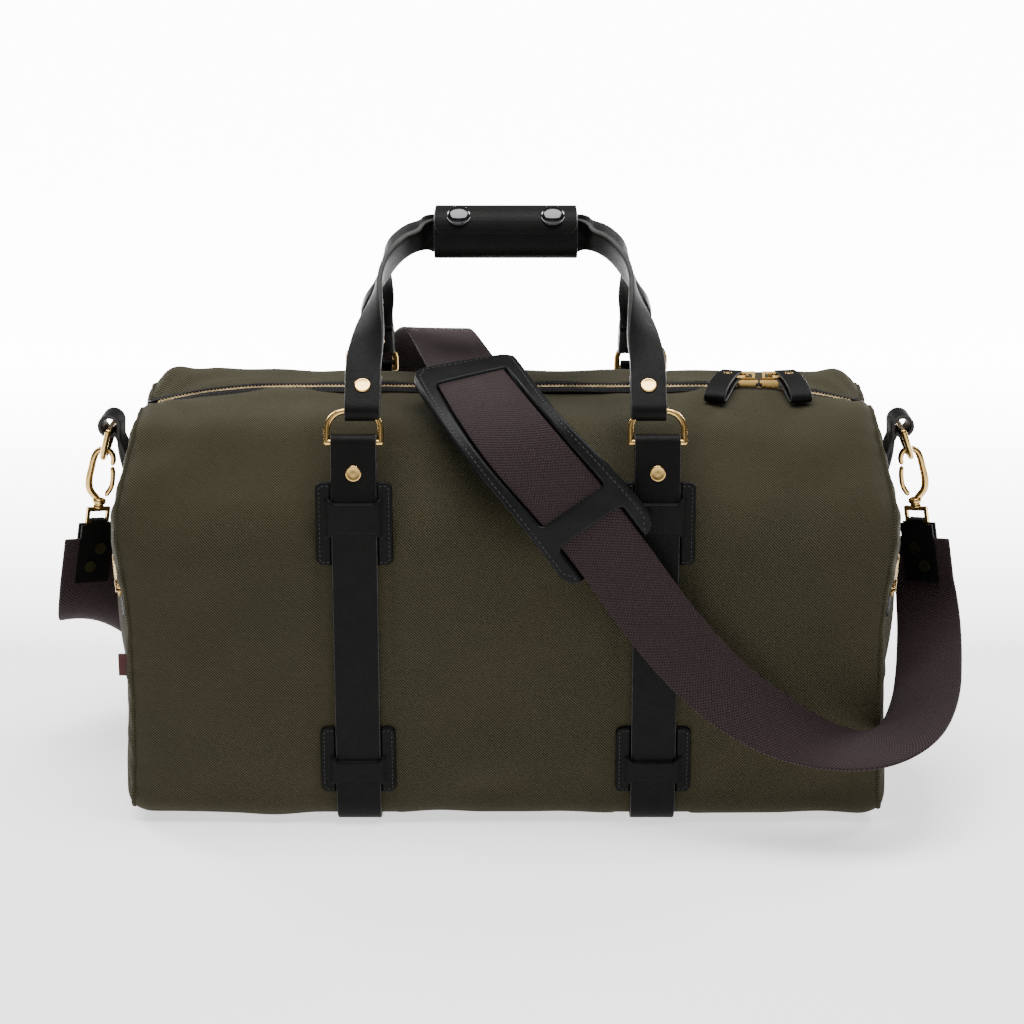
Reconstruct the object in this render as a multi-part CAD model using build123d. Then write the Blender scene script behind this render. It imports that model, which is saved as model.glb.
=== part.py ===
"""A canvas duffel bag with leather straps, brass rings and a webbing shoulder strap.

Millimetres.  +X is the bag's right-hand end, +Y its back, +Z up.  The origin is on the
ground under the middle of the bag.
"""

from build123d import *
import os
from math import acos, asin, atan2, cos, degrees, radians, sin, sqrt

os.makedirs("parts", exist_ok=True)

# ---- driving dimensions -------------------------------------------------------------
END_X = 268.0            # end seams, from the middle of the bag
HALF_DEPTH = 127.0       # front and back faces
TOP_Z = 297.0            # canvas beside the zip
SKIN = 2.5               # canvas with its lining
STRAP_T = 3.5            # leather of the body straps
STRAP_W = 32.0
STRAP_X = 106.0          # middle of each body strap
BASE_Z = STRAP_T + 0.2   # the canvas rests on the straps
BASE_R = 14.0
DOME_R = 255.0           # bulge of each end panel
DOME_X = 37.0            # its centre
DOME_Z = 145.0
ZIP_HALF_SLOT = 5.5
ZIP_END = 262.0
POCKET_TILT = 12.4       # the pocket zip's arc is struck about an axis tipped down by this
POCKET_ARC_R = 115.0
POCKET_FROM, POCKET_TO = 34.0, 146.0
WIRE_R = 2.25            # brass rings
WIRE_GAP = 0.35
RING_INNER = 33.0
RING_C = (119.0, 283.0)  # bar of each handle ring: depth and height
RING_LEAN = 22.0
RING_DROP = 22.0        # bar to bow, between wire middles
RING_CORNER = 13.0
HANDLE_W = 25.0
HANDLE_T = 4.0
HANDLE_X = 100.0
GRIP_Z = 410.0
GRIP_Y = 8.6             # middle of each handle inside the grip
GRIP_LONG = 104.0
GRIP_DEEP = 40.0
GRIP_TALL = 34.0
GRIP_WALL = 2.4
GRIP_ROUND = 13.5
SNAP_X = 34.0
SNAP_TILT = 38.0         # the snaps sit on the grip's rounded front shoulder
SLIDER_X = (179.0, 195.5)
END_RING_BAR = (294.0, 265.0)
END_RING_DROP = 24.0
END_RING_TILT = {"left": 16.0, "right": 20.0}
TAB_YAW = degrees(acos(0.8))
CHAIN_TILT = 9.0         # hook, eye and tab hang this far out of plumb
WEB_W = 50.0
WEB_T = 2.5
PAD_W = 76.0
PAD_T = 3.5
REACH = 700.0            # larger than the bag, for cutting tools

# ---- shoulder strap: hand-chosen points of its middle line, and the way across it ----
STRAP_ROUTE = [
    ((-310.8, 0.0, 177.7), (-0.8, -0.6, 0.0)),
    ((-314.1, 0.0, 157.0), (-0.8, -0.6, 0.0)),
    ((-317.5, 0.0, 135.3), (-0.8, -0.6, 0.0)),
    ((-319.0, 11.0, 114.0), (-0.85, -0.45, 0.15)),
    ((-317.0, 34.0, 100.0), (-0.85, -0.25, 0.4)),
    ((-308.0, 72.0, 95.0), (-0.65, -0.1, 0.75)),
    ((-293.0, 116.0, 102.0), (-0.4, -0.1, 0.9)),
    ((-262.0, 150.0, 122.0), (-0.3, 0.0, 0.95)),
    ((-220.0, 162.0, 150.0), (-0.4, 0.0, 0.92)),
    ((-170.0, 164.0, 188.0), (-0.55, 0.0, 0.83)),
    ((-125.0, 160.0, 228.0), (-0.7, 0.0, 0.7)),
    ((-88.0, 154.0, 266.0), (-0.88, 0.0, 0.47)),
    ((-66.0, 137.0, 300.0), (-0.96, 0.0, 0.25)),
    ((-55.0, 100.0, 320.0), (-0.98, -0.12, 0.05)),
    ((-48.0, 50.0, 325.0), (-0.97, -0.2, 0.0)),
    ((-40.0, 5.0, 323.0), (-0.96, -0.26, -0.05)),
    ((-26.0, -48.0, 314.0), (-0.93, -0.28, -0.15)),
    ((-9.0, -95.0, 300.0), (-0.9, -0.2, -0.35)),
    ((12.0, -127.0, 280.0), (-0.86, -0.05, -0.5)),
    ((38.0, -141.0, 254.0), (-0.82, 0.0, -0.57)),
    ((68.0, -146.0, 218.0), (-0.8, 0.0, -0.6)),
    ((108.0, -150.0, 160.0), (-0.79, -0.12, -0.6)),
    ((148.0, -156.0, 116.0), (-0.62, -0.42, -0.66)),
    ((186.0, -161.0, 90.0), (-0.36, -0.66, -0.66)),
    ((226.0, -165.0, 74.0), (-0.08, -0.93, -0.36)),
    ((259.0, -165.0, 71.0), (0.25, -0.95, -0.15)),
    ((288.0, -145.0, 76.0), (0.45, -0.89, 0.0)),
    ((305.0, -103.0, 86.0), (0.6, -0.8, 0.0)),
    ((314.0, -58.0, 97.0), (0.68, -0.72, 0.05)),
    ((319.5, -19.0, 114.0), (0.74, -0.66, 0.05)),
    ((319.1, 0.0, 135.8), (0.8, -0.6, 0.0)),
    ((315.7, 0.0, 157.5), (0.8, -0.6, 0.0)),
    ((312.4, 0.0, 178.2), (0.8, -0.6, 0.0)),
]
STRAP_STATIONS = 96
PAD_SPAN = (0.474, 0.626)     # stretch of the strap that the pad covers
ADJUSTER_AT = 0.165


def save(shape, name):
    """Write one sub-part."""
    export_step(shape, f"parts/{name}.step")


def block(x, y, z):
    """A box between two limits on each axis."""
    size = (x[1] - x[0], y[1] - y[0], z[1] - z[0])
    middle = ((x[0] + x[1]) / 2, (y[0] + y[1]) / 2, (z[0] + z[1]) / 2)
    return Pos(*middle) * Box(*size)


def mirrored(shape, side):
    """The shape as modelled at the right-hand end, or its mirror image."""
    return shape if side == "right" else mirror(shape, about=Plane.YZ)


def facing(shape, face):
    """The shape as modelled at the front, or its mirror image at the back."""
    return shape if face == "front" else mirror(shape, about=Plane.XZ)


# ---- flat strips bent in one plane ---------------------------------------------------
def offset_corners(points, shift):
    """Corners of the polyline that runs beside another, shifted to its left."""
    out = []
    for i, (px, py) in enumerate(points):
        before = points[max(i - 1, 0)]
        after = points[min(i + 1, len(points) - 1)]
        first = Vector(px - before[0], py - before[1])
        last = Vector(after[0] - px, after[1] - py)
        first = last if first.length == 0 else first
        last = first if last.length == 0 else last
        first, last = first.normalized(), last.normalized()
        left_1, left_2 = Vector(-first.Y, first.X), Vector(-last.Y, last.X)
        miter = (left_1 + left_2) / (1 + left_1.dot(left_2))
        out.append((px + miter.X * shift, py + miter.Y * shift))
    return out


def turns_left(a, b, c):
    return (b[0] - a[0]) * (c[1] - b[1]) - (b[1] - a[1]) * (c[0] - b[0]) > 0


def strip(points, radii, thickness):
    """Outline of a strip of leather whose middle line is a polyline with round corners."""
    half = thickness / 2
    sides = []
    for shift in (half, -half):
        corner_radii = []
        for i, radius in enumerate(radii):
            inside = turns_left(*points[i:i + 3]) == (shift > 0)
            corner_radii.append(radius - half if inside else radius + half)
        sides.append(FilletPolyline(*offset_corners(points, shift), radius=corner_radii))
    left, right = sides
    caps = [Line(left @ 0, right @ 0), Line(left @ 1, right @ 1)]
    return make_face([*left.edges(), *right.edges(), *[c.edge() for c in caps]])


def strip_across_x(points, radii, thickness, width, x):
    """A strip bent in a plane across X, given as (depth, height) points."""
    outline = Plane.YZ * strip(points, radii, thickness)
    return Pos(x, 0, 0) * extrude(outline, amount=width / 2, both=True)


# ---- canvas body ---------------------------------------------------------------------
def loaf(inset):
    """Cross-section of the bag: flat base, upright faces and a rounded top."""
    half, low, high = HALF_DEPTH - inset, BASE_Z + inset, TOP_Z - inset
    corners = [(-half, low), (half, low), (half, 226 - inset / 2), (66, 283 - inset),
               (14, high), (-14, high), (-66, 283 - inset), (-half, 226 - inset / 2)]
    base_r = BASE_R - inset
    radii = [base_r, base_r, 55 - inset, 60 - inset, 40 - inset, 40 - inset, 60 - inset, 55 - inset]
    outline = FilletPolyline(*corners, radius=radii, close=True)
    return Plane.YZ * make_face(outline.edges())


def canvas_panels():
    """Front, back and base panels, and the stiff board inside the base."""
    length = END_X - SKIN
    tube = extrude(loaf(0), amount=length, both=True) - extrude(loaf(SKIN), amount=length, both=True)
    flat = HALF_DEPTH - BASE_R
    base = block((-length, length), (-flat, flat), (BASE_Z, BASE_Z + SKIN))
    wall = tube - block((-REACH, REACH), (-flat, flat), (0, 60))
    slot = block((-REACH, REACH), (-ZIP_HALF_SLOT, ZIP_HALF_SLOT), (200, 320))
    walls = (wall - slot).solids().sort_by(Axis.Y)
    save(walls[0], "front_panel")
    save(walls[-1], "back_panel")
    save(base, "base_panel")
    board_z = BASE_Z + SKIN + 0.1
    board = block((-length + 8, length - 8), (-flat + 4, flat - 4), (board_z, board_z + 3))
    save(board, "base_board")


def rim(radius, x):
    """Radius of the circle that a plane across X cuts from a dome."""
    return sqrt(radius ** 2 - (x - DOME_X) ** 2)


def dome_shell(outer, inner, edge_x):
    """Shallow domed shell, thick between two radii, ending at a plane across X."""
    def arc(radius):
        half = asin(rim(radius, edge_x) / radius) / 2
        middle = (DOME_X + radius * cos(half), radius * sin(half))
        return ThreePointArc((DOME_X + radius, 0), middle, (edge_x, rim(radius, edge_x)))

    outside, inside = arc(outer), arc(inner)
    lines = [Line(outside @ 0, inside @ 0), Line(outside @ 1, inside @ 1)]
    section = Plane.XZ * make_face([outside.edge(), inside.edge(), *[l.edge() for l in lines]])
    return Pos(0, 0, DOME_Z) * revolve(section, axis=Axis.X)


def pocket_plane():
    """Frame at the dome's centre whose Z is the pocket arc's axis and X points back."""
    tilt = radians(POCKET_TILT)
    return Plane(origin=(DOME_X, 0, DOME_Z), x_dir=(0, 1, 0), z_dir=(cos(tilt), 0, -sin(tilt)))


def arc_band(low, high, inner, outer, start, stop):
    """Part of a spherical shell along the pocket arc: distances across it and radii."""
    cone = asin(POCKET_ARC_R / DOME_R)
    angles = [cone + low / DOME_R, cone + high / DOME_R]
    corners = [(r * sin(a), r * cos(a)) for a, r in
               ((angles[0], inner), (angles[0], outer), (angles[1], outer), (angles[1], inner))]
    section = Plane.XZ * make_face(Polyline(*corners, close=True))
    band = revolve(section, axis=Axis.Z, revolution_arc=stop - start)
    return pocket_plane() * (Rot(0, 0, start) * band)


def end_panels():
    """Bulging end panels, each with its curved pocket zip."""
    inner_x = END_X - SKIN
    opening = Rot(0, 90, 0) * Cylinder(rim(DOME_R - SKIN, inner_x) + 0.4, 10)
    plate = Pos(inner_x, 0, 0) * extrude(loaf(0), amount=SKIN) - Pos(inner_x, 0, DOME_Z) * opening
    cap = dome_shell(DOME_R, DOME_R - SKIN, inner_x)
    slot = arc_band(-4.5, 4.5, 240, 262, POCKET_FROM, POCKET_TO)
    panel = plate + cap - slot
    lining = dome_shell(DOME_R - SKIN - 0.6, DOME_R - SKIN - 1.8, END_X)
    below, above = POCKET_FROM - 3, POCKET_TO + 3
    facing_pair = [arc_band(3.6, 11.5, DOME_R + 0.1, DOME_R + 1.9, below, above),
                   arc_band(-11.5, -3.6, DOME_R + 0.1, DOME_R + 1.9, below, above)]
    chain = arc_band(-2.6, 2.6, DOME_R - 1.6, DOME_R + 1.5, POCKET_FROM + 0.5, POCKET_TO - 0.5)
    for side in ("left", "right"):
        save(mirrored(panel, side), f"end_panel_{side}")
        save(mirrored(lining, side), f"pocket_lining_{side}")
        save(mirrored(Compound(facing_pair), side), f"pocket_facing_{side}")
        save(mirrored(chain, side), f"pocket_zip_{side}")


def pocket_sliders():
    """Slider and pull tab of each end pocket, at the front end of its arc."""
    at = POCKET_TO - 6
    cone = asin(POCKET_ARC_R / DOME_R)
    outward = Vector(sin(cone) * cos(radians(at)), sin(cone) * sin(radians(at)), cos(cone))
    along = Vector(-sin(radians(at)), cos(radians(at)), 0)
    place = pocket_plane() * Plane(origin=outward * (DOME_R + 2.1), x_dir=along, z_dir=outward)
    slider = Pos(0, 0, 1.2) * Box(12, 9, 2.4)
    slider += Pos(0, 0, 3.6) * Box(9, 2.2, 2.6) - Pos(0, 0, 3.3) * Box(5.4, 4, 1.9)
    eye = Rot(90, 0, 0) * Cylinder(0.8, 7)
    tab = Box(26, 8, 1.4) - Pos(-9, 0, 0) * Cylinder(2.2, 5)
    tab -= Pos(10.2, 0, 0) * Box(4.0, 5.2, 5)
    tab = Pos(-0.4, 0, 3.3) * eye + Pos(0, 0, 3.3) * (Pos(-13.1, 0, 0) * tab)
    tab -= Pos(1.2, 0, 3.3) * Box(2.0, 20, 3)
    for side in ("left", "right"):
        save(mirrored(place * slider, side), f"pocket_slider_{side}")
        save(mirrored(place * tab, side), f"pocket_pull_{side}")


# ---- main zip ------------------------------------------------------------------------
def main_zip():
    for face in ("front", "back"):
        leather = block((-END_X + 1, END_X - 1), (-13.5, -ZIP_HALF_SLOT), (TOP_Z + 0.05, TOP_Z + 1.9))
        tape = block((-ZIP_END, ZIP_END), (-12, -0.3), (TOP_Z - 4.2, TOP_Z - 2.9))
        teeth = block((-ZIP_END + 4, ZIP_END - 4), (-2.6, -0.1), (TOP_Z - 2.9, TOP_Z + 1.4))
        save(facing(leather, face), f"zip_facing_{face}")
        save(facing(tape, face), f"zip_tape_{face}")
        save(facing(teeth, face), f"zip_teeth_{face}")
    for side, x, way in (("left", SLIDER_X[0], -1), ("right", SLIDER_X[1], 1)):
        top = TOP_Z + 2.2
        slider = Pos(0, 0, 1.1) * Box(15, 10, 2.2)
        for y in (-4.1, 4.1):
            slider += Pos(0, y, -1.9) * Box(12, 1.6, 3.8)
        slider += Pos(0, 0, 4.9) * Box(11, 2.4, 5.4) - Pos(0, 0, 4.8) * Box(7.4, 4, 3.1)
        save(Pos(x, 0, top) * slider, f"zip_slider_{side}")
        pull_z = top + 4.8
        ring = Pos(way * 6.2, 0, 0) * (SlotOverall(15, 9.4) - SlotOverall(11.6, 6.0))
        ring = Pos(x, 0, pull_z) * extrude(ring, amount=0.9, both=True)
        save(ring, f"pull_link_{side}")
        drape = [(6, pull_z), (-14, pull_z), (-46, pull_z - 8)]
        leather = strip_across_x(drape, [18], 4.6, 15, 0)
        room = Pos(x + way * 6.6, 0, pull_z) * Box(16, 10.4, 2.4)
        leather = Pos(x + way * 14.5, 0, 0) * leather - room
        save(leather, f"zip_pull_{side}")


# ---- body straps, keepers and rivets -------------------------------------------------
def lean_frame():
    """Ring bar's centre, the way up the leaning strap, and the way out of its face."""
    bar = Vector(-RING_C[0], RING_C[1])
    knee = Vector(-HALF_DEPTH - 0.25 - STRAP_T / 2, 236)
    fold_r = WIRE_R + WIRE_GAP + STRAP_T / 2
    reach = bar - knee
    tilt = atan2(reach.X, reach.Y) - asin(fold_r / reach.length)
    up = Vector(sin(tilt), cos(tilt))
    return bar, knee, up, Vector(-up.Y, up.X), fold_r


def body_straps():
    """Each strap runs under the bag and folds round a ring bar at both of its ends."""
    bar, knee, up, out, fold_r = lean_frame()
    tail = bar - out * fold_r - up * 30
    top_in = bar - out * fold_r + up * fold_r
    top_out = bar + out * fold_r + up * fold_r
    foot = Vector(knee.X, STRAP_T / 2)
    front = [tail, top_in, top_out, knee, foot]
    points = [(p.X, p.Y) for p in front] + [(-p.X, p.Y) for p in reversed(front)]
    base_r = BASE_R + 0.25 + STRAP_T / 2
    tight = fold_r - 0.05
    radii = [tight, tight, 40, base_r, base_r, 40, tight, tight]
    rivet_at = bar - up * 21
    rivet_tilt = degrees(atan2(out.Y, -out.X))
    for side, x in (("left", -STRAP_X), ("right", STRAP_X)):
        strap = strip_across_x(points, radii, STRAP_T, STRAP_W, x)
        for sign in (1, -1):
            hole = Pos(x, sign * rivet_at.X, rivet_at.Y) * Rot(90 - sign * rivet_tilt, 0, 0)
            strap -= hole * Cylinder(2.3, 40)
        save(strap, f"body_strap_{side}")
    rivet = Cylinder(2.0, 2 * fold_r + STRAP_T + 1)
    for sign in (1, -1):
        rivet += Pos(0, 0, sign * (fold_r + STRAP_T / 2 + 0.75)) * Cylinder(5.5, 1.3)
    rivets = []
    for x in (-STRAP_X, STRAP_X):
        for sign in (1, -1):
            place = Pos(x, sign * rivet_at.X, rivet_at.Y) * Rot(90 - sign * rivet_tilt, 0, 0)
            rivets.append(place * rivet)
    return rivets


def keeper(width, low, high, bridge_low, bridge_high, x):
    """A stitched leather patch with a bridge that the body strap runs under."""
    face_y = -HALF_DEPTH - 0.1
    bridge_y = -HALF_DEPTH - 0.25 - STRAP_T - 0.4
    wing = (width - STRAP_W - 1) / 2
    inner = STRAP_W / 2 + 0.5
    patch = None
    for sign in (-1, 1):
        centre = sign * (inner + wing / 2)
        piece = block((centre - wing / 2, centre + wing / 2), (face_y - 2.4, face_y), (low, high))
        step = block((centre - wing / 2 + 0.5, centre + wing / 2 - 4), (bridge_y, face_y - 2),
                     (bridge_low, bridge_high))
        patch = piece + step if patch is None else patch + piece + step
    patch += block((-inner - 4, inner + 4), (bridge_y - 2.2, bridge_y), (bridge_low, bridge_high))
    return Pos(x, 0, 0) * patch


def strap_keepers():
    for face in ("front", "back"):
        patches = []
        for x in (-STRAP_X, STRAP_X):
            patches.append(keeper(54, 196, 257, 219, 243, x))
            patches.append(keeper(54, 25, 75, 34, 51, x))
        save(facing(Compound(patches), face), f"strap_keepers_{face}")


# ---- D rings -------------------------------------------------------------------------
def d_ring(inner, drop, corner, wire=WIRE_R):
    """A D ring standing in the XZ plane on a bar along X at the origin."""
    span = inner / 2 + WIRE_R
    outline = FilletPolyline((-span, 0), (-span, drop), (span, drop), (span, 0), radius=[corner, corner])
    path = Plane.XZ * Wire(outline.edges())
    bow = sweep(Pos(-span, 0, 0) * Circle(wire), path=path)
    ring = bow + Rot(0, 90, 0) * Cylinder(wire, 2 * span)
    for x in (-span, span):
        ring += Pos(x, 0, 0) * Sphere(wire + 0.02)
    return ring


def handle_rings():
    for face, sign in (("front", -1), ("back", 1)):
        for side, x in (("left", -STRAP_X), ("right", STRAP_X)):
            ring = Rot(sign * RING_LEAN, 0, 0) * d_ring(RING_INNER, RING_DROP, RING_CORNER)
            save(Pos(x, sign * RING_C[0], RING_C[1]) * ring, f"handle_ring_{face}_{side}")


# ---- handles and grip ----------------------------------------------------------------
def handle_frame():
    """Ring bow's centre, the way up the handle's plane, and the way out of it (front)."""
    lean = radians(RING_LEAN)
    bow = Vector(0, -RING_C[0] + RING_DROP * sin(lean), RING_C[1] + RING_DROP * cos(lean))
    fold_r = WIRE_R + 0.6 + HANDLE_T / 2
    reach = Vector(0, -GRIP_Y, GRIP_Z) - bow
    tilt = atan2(reach.Y, reach.Z) + asin(fold_r / reach.length)
    up = Vector(0, sin(tilt), cos(tilt))
    return bow, up, Vector(0, -up.Z, up.Y), fold_r


HANDLE_SHAPE = [(0.25, 100.0, 0), (0.38, 98.0, 18), (0.5, 96.5, 42), (0.62, 94.0, 66), (0.72, 91.0, 82),
                (0.81, 86.0, 90), (0.885, 79.5, 90), (0.94, 72.0, 90), (0.975, 63.0, 90)]


def handle_sections(start, up, out):
    """Points on the middle line and the way across the strap, from left to right."""
    rise = (Vector(0, -GRIP_Y, GRIP_Z) - start)
    left = []
    for share, x, _ in HANDLE_SHAPE:
        left.append(start + rise * share + Vector(-x, 0, 0))
    left.append(Vector(-56, -GRIP_Y, GRIP_Z))
    left.append(Vector(-49, -GRIP_Y, GRIP_Z))
    twists = [twist for _, _, twist in HANDLE_SHAPE] + [112, 130]
    line = left + [Vector(-p.X, p.Y, p.Z) for p in reversed(left)]
    angles = twists + list(reversed(twists))
    sections = []
    for i, point in enumerate(line):
        if i in (0, len(line) - 1):
            along = up if i == 0 else -up
        else:
            along = (line[i + 1] - line[i - 1]).normalized()
        inward = out.cross(along) * -1
        inward = inward if inward.dot(Vector(0, 0, 300) - point) > 0 else -inward
        across = inward.normalized() * cos(radians(angles[i])) + out * sin(radians(angles[i]))
        across = (across - along * across.dot(along)).normalized()
        sections.append((point, across, along.cross(across).normalized()))
    return sections


def quad(point, across, normal, width, thickness):
    """A rectangle across a strap."""
    a, b = across * (width / 2), normal * (thickness / 2)
    corners = [point + a + b, point + a - b, point - a - b, point - a + b]
    return Wire.make_polygon([tuple(c) for c in corners], close=True)


def handles():
    bow, up, out, fold_r = handle_frame()
    start = bow + out * fold_r
    sections = handle_sections(start, up, out)
    rings = [quad(*section, HANDLE_W, HANDLE_T) for section in sections]
    handle = Solid.make_loft(rings, ruled=True)
    first = sections[0][0]
    lift = (first - start).dot(up)
    fold = [(fold_r, lift), (fold_r, -fold_r), (-fold_r, -fold_r), (-fold_r, 32)]
    outline = strip(fold, [fold_r - 0.05, fold_r - 0.05], HANDLE_T)
    for x in (-HANDLE_X, HANDLE_X):
        place = Plane(origin=(x, bow.Y, bow.Z), x_dir=out, z_dir=(out.cross(up)))
        handle += place * extrude(outline, amount=HANDLE_W / 2, both=True)
    rivet = Cylinder(2.0, 2 * fold_r + HANDLE_T + 1)
    for sign in (1, -1):
        rivet += Pos(0, 0, sign * (fold_r + HANDLE_T / 2 + 0.75)) * Cylinder(5.5, 1.3)
    rivet_at = bow + up * 17
    places = [Plane(origin=(x, rivet_at.Y, rivet_at.Z), x_dir=(1, 0, 0), z_dir=out) for x in (-HANDLE_X, HANDLE_X)]
    for place in places:
        handle -= place * Cylinder(2.3, 40)
    for x in (-STRAP_X, STRAP_X):
        room = d_ring(RING_INNER, RING_DROP, RING_CORNER, WIRE_R + 0.35)
        handle -= Pos(x, -RING_C[0], RING_C[1]) * (Rot(-RING_LEAN, 0, 0) * room)
    rivets = Compound([place * rivet for place in places])
    save(handle, "handle_front")
    save(facing(handle, "back"), "handle_back")
    return [*rivets.solids(), *facing(rivets, "back").solids()]


def grip():
    """Leather wrap that closes round both handles with a snapped flap."""
    half = GRIP_LONG / 2

    def tube(wall_out, wall_in):
        outer = RectangleRounded(GRIP_DEEP + 2 * wall_out, GRIP_TALL + 2 * wall_out, GRIP_ROUND + wall_out)
        inner = RectangleRounded(GRIP_DEEP - 2 * wall_in, GRIP_TALL - 2 * wall_in, GRIP_ROUND - wall_in)
        return outer - inner

    def along_x(sketch, length):
        return extrude(Plane.YZ * (Pos(0, GRIP_Z) * sketch), amount=length, both=True)

    gap = 0.35
    save(along_x(tube(0, GRIP_WALL), half), "grip_wrap")
    flap = along_x(tube(gap + GRIP_WALL, -gap), half - 0.5)
    flap = flap & block((-half, half), (-REACH, GRIP_DEEP / 2 - GRIP_ROUND), (GRIP_Z + 4, GRIP_Z + 60))
    shoulder = (0, GRIP_ROUND - GRIP_DEEP / 2, GRIP_Z + GRIP_TALL / 2 - GRIP_ROUND)
    studs, caps = [], []
    for x in (-SNAP_X, SNAP_X):
        seat = Pos(x, shoulder[1], shoulder[2]) * Rot(SNAP_TILT, 0, 0)
        flap -= seat * (Pos(0, 0, GRIP_ROUND) * Cylinder(3.4, 12))
        studs.append(seat * (Pos(0, 0, GRIP_ROUND + 1.1) * Cylinder(2.6, 2.2)))
        cap = Pos(0, 0, -15.0) * Sphere(17.8) & Pos(0, 0, 2.5) * Box(18, 18, 5)
        caps.append(seat * (Pos(0, 0, GRIP_ROUND + gap + GRIP_WALL + 0.05) * cap))
    save(flap, "grip_flap")
    save(Compound(studs), "snap_studs")
    save(Compound(caps), "snap_caps")


# ---- end tabs, end rings and hooks ---------------------------------------------------
def end_tabs_and_rings():
    bar_x, bar_z = END_RING_BAR
    centre_z = bar_z + 3.0
    loop = Rot(90, 0, 0) * (Cylinder(8.5, 28) - Cylinder(5.6, 40))
    loop = Pos(bar_x, 0, centre_z) * loop
    neck = block((bar_x - 14, bar_x - 6.5), (-14, 14), (centre_z - 16, centre_z + 2))
    root_plate = block((bar_x - 22, bar_x - 12), (-14, 14), (centre_z - 34, centre_z - 4))
    tab = loop + ((neck + root_plate) - Pos(DOME_X, 0, DOME_Z) * Sphere(DOME_R + 0.1))
    tab -= Pos(bar_x, 0, centre_z) * (Rot(90, 0, 0) * Cylinder(5.6, 40))
    tab = tab.solids().sort_by(SortBy.VOLUME)[-1]
    ring = Rot(180, 0, 90) * d_ring(32.0, END_RING_DROP, 17.0)
    for side in ("left", "right"):
        save(mirrored(tab, side), f"end_tab_{side}")
        hung = Pos(bar_x, 0, bar_z) * (Rot(0, -END_RING_TILT[side], 0) * ring)
        save(mirrored(hung, side), f"end_ring_{side}")
    label = block((-END_X - 9, -END_X + 1.5), (-HALF_DEPTH + 7, -HALF_DEPTH + 9.2), (111, 127))
    save(label - block((-END_X, REACH), (-200, 200), (0, 300)), "side_label")


def chain_plane(side):
    """Frame at the ring's bow, Z back up the hanging chain, X away from the bag."""
    tilt = radians(END_RING_TILT[side])
    origin = (END_RING_BAR[0] + END_RING_DROP * sin(tilt), 0, END_RING_BAR[1] - END_RING_DROP * cos(tilt))
    hang = radians(CHAIN_TILT)
    return Plane(origin=origin, x_dir=(cos(hang), 0, sin(hang)), z_dir=(-sin(hang), 0, cos(hang)))


def hook_pieces():
    """Snap hook and its sprung gate, hanging from a ring bow at the origin."""
    wire = 2.0
    arch_z, arch_r = -2.6, 8.0
    arch = revolve(Pos(arch_r, 0, 0) * Rot(90, 0, 0) * Circle(wire), axis=Axis.Z, revolution_arc=190)
    arch = Pos(0, 0, arch_z) * (Rot(90, 0, 0) * arch)
    shank = rod((arch_r, 0, arch_z), (3.4, 0, -34.0), wire)
    barrel = Pos(0, 0, -36.5) * Cylinder(4.5, 6.0)
    hook = arch + shank + barrel
    gate = rod((-8.2, 0, -6.8), (-4.2, 0, -31.0), 1.5)
    return hook, gate


def rod(start, end, radius):
    start, end = Vector(*start), Vector(*end)
    plane = Plane(origin=start, z_dir=end - start)
    return plane * extrude(Circle(radius), amount=(end - start).length)


def hooks():
    hook, gate = hook_pieces()
    hook -= gate_room()
    eye = Box(19, 2.6, 14) - Pos(0, 0, -0.3) * Box(14, 8, 8.6)
    eye = Pos(0, 0, -47.0) * eye
    tab = tab_piece()
    for side in ("left", "right"):
        place = chain_plane(side)
        turn = Rot(0, 0, -TAB_YAW)
        save(mirrored(place * hook, side), f"hook_body_{side}")
        save(mirrored(place * gate, side), f"hook_gate_{side}")
        save(mirrored(place * (turn * eye), side), f"hook_eye_{side}")
        save(mirrored(place * (turn * tab), side), f"strap_tab_{side}")
    rivets = []
    for side in ("left", "right"):
        for x, z in ((-3.5, -72), (3.5, -86)):
            rivet = Pos(x, 0, z) * (Rot(90, 0, 0) * Cylinder(1.6, 6.4))
            for sign in (-1, 1):
                rivet += Pos(x, sign * 3.7, z) * (Rot(90, 0, 0) * Cylinder(4.5, 1.0))
            rivets.append(mirrored(chain_plane(side) * (Rot(0, 0, -TAB_YAW) * rivet), side))
    save(Compound(rivets), "strap_tab_rivets")


def gate_room():
    """Space that the gate's foot needs in the barrel."""
    return rod((-8.2, 0, -6.8), (-3.6, 0, -33.6), 2.1)


def tab_piece():
    """Folded leather tab: two leaves with the webbing's end between them."""
    leaf = Pos(0, 0, -76) * Box(27, 1.7, 46)
    tab = Pos(0, WEB_T / 2 + 1.1, 0) * leaf + Pos(0, -WEB_T / 2 - 1.1, 0) * leaf
    tab += Pos(0, 0, -51.7) * Box(13.4, 6.4, 4.6) - Pos(0, 0, -52.95) * Box(20, 3.0, 3.1)
    return tab - tab_holes()


def tab_holes():
    holes = None
    for x, z in ((-3.5, -72), (3.5, -86)):
        hole = Pos(x, 0, z) * (Rot(90, 0, 0) * Cylinder(1.8, 20))
        holes = hole if holes is None else holes + hole
    return holes


# ---- shoulder strap ------------------------------------------------------------------
def on_spline(values, share):
    """Point of the clamped quadratic B-spline whose control points are the values."""
    count = len(values)
    spans = count - 2
    place = min(share * spans, spans - 1e-9)
    span = int(place)
    knots = [0.0, 0.0] + [float(i) for i in range(spans + 1)] + [float(spans)] * 2

    def basis(i, degree):
        if degree == 0:
            return 1.0 if knots[i] <= place < knots[i + 1] else 0.0
        total = 0.0
        if knots[i + degree] > knots[i]:
            total += (place - knots[i]) / (knots[i + degree] - knots[i]) * basis(i, degree - 1)
        if knots[i + degree + 1] > knots[i + 1]:
            rest = knots[i + degree + 1] - place
            total += rest / (knots[i + degree + 1] - knots[i + 1]) * basis(i + 1, degree - 1)
        return total

    result = Vector(0, 0, 0)
    for i in range(span, span + 3):
        result += values[i] * basis(i, 2)
    return result


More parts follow.
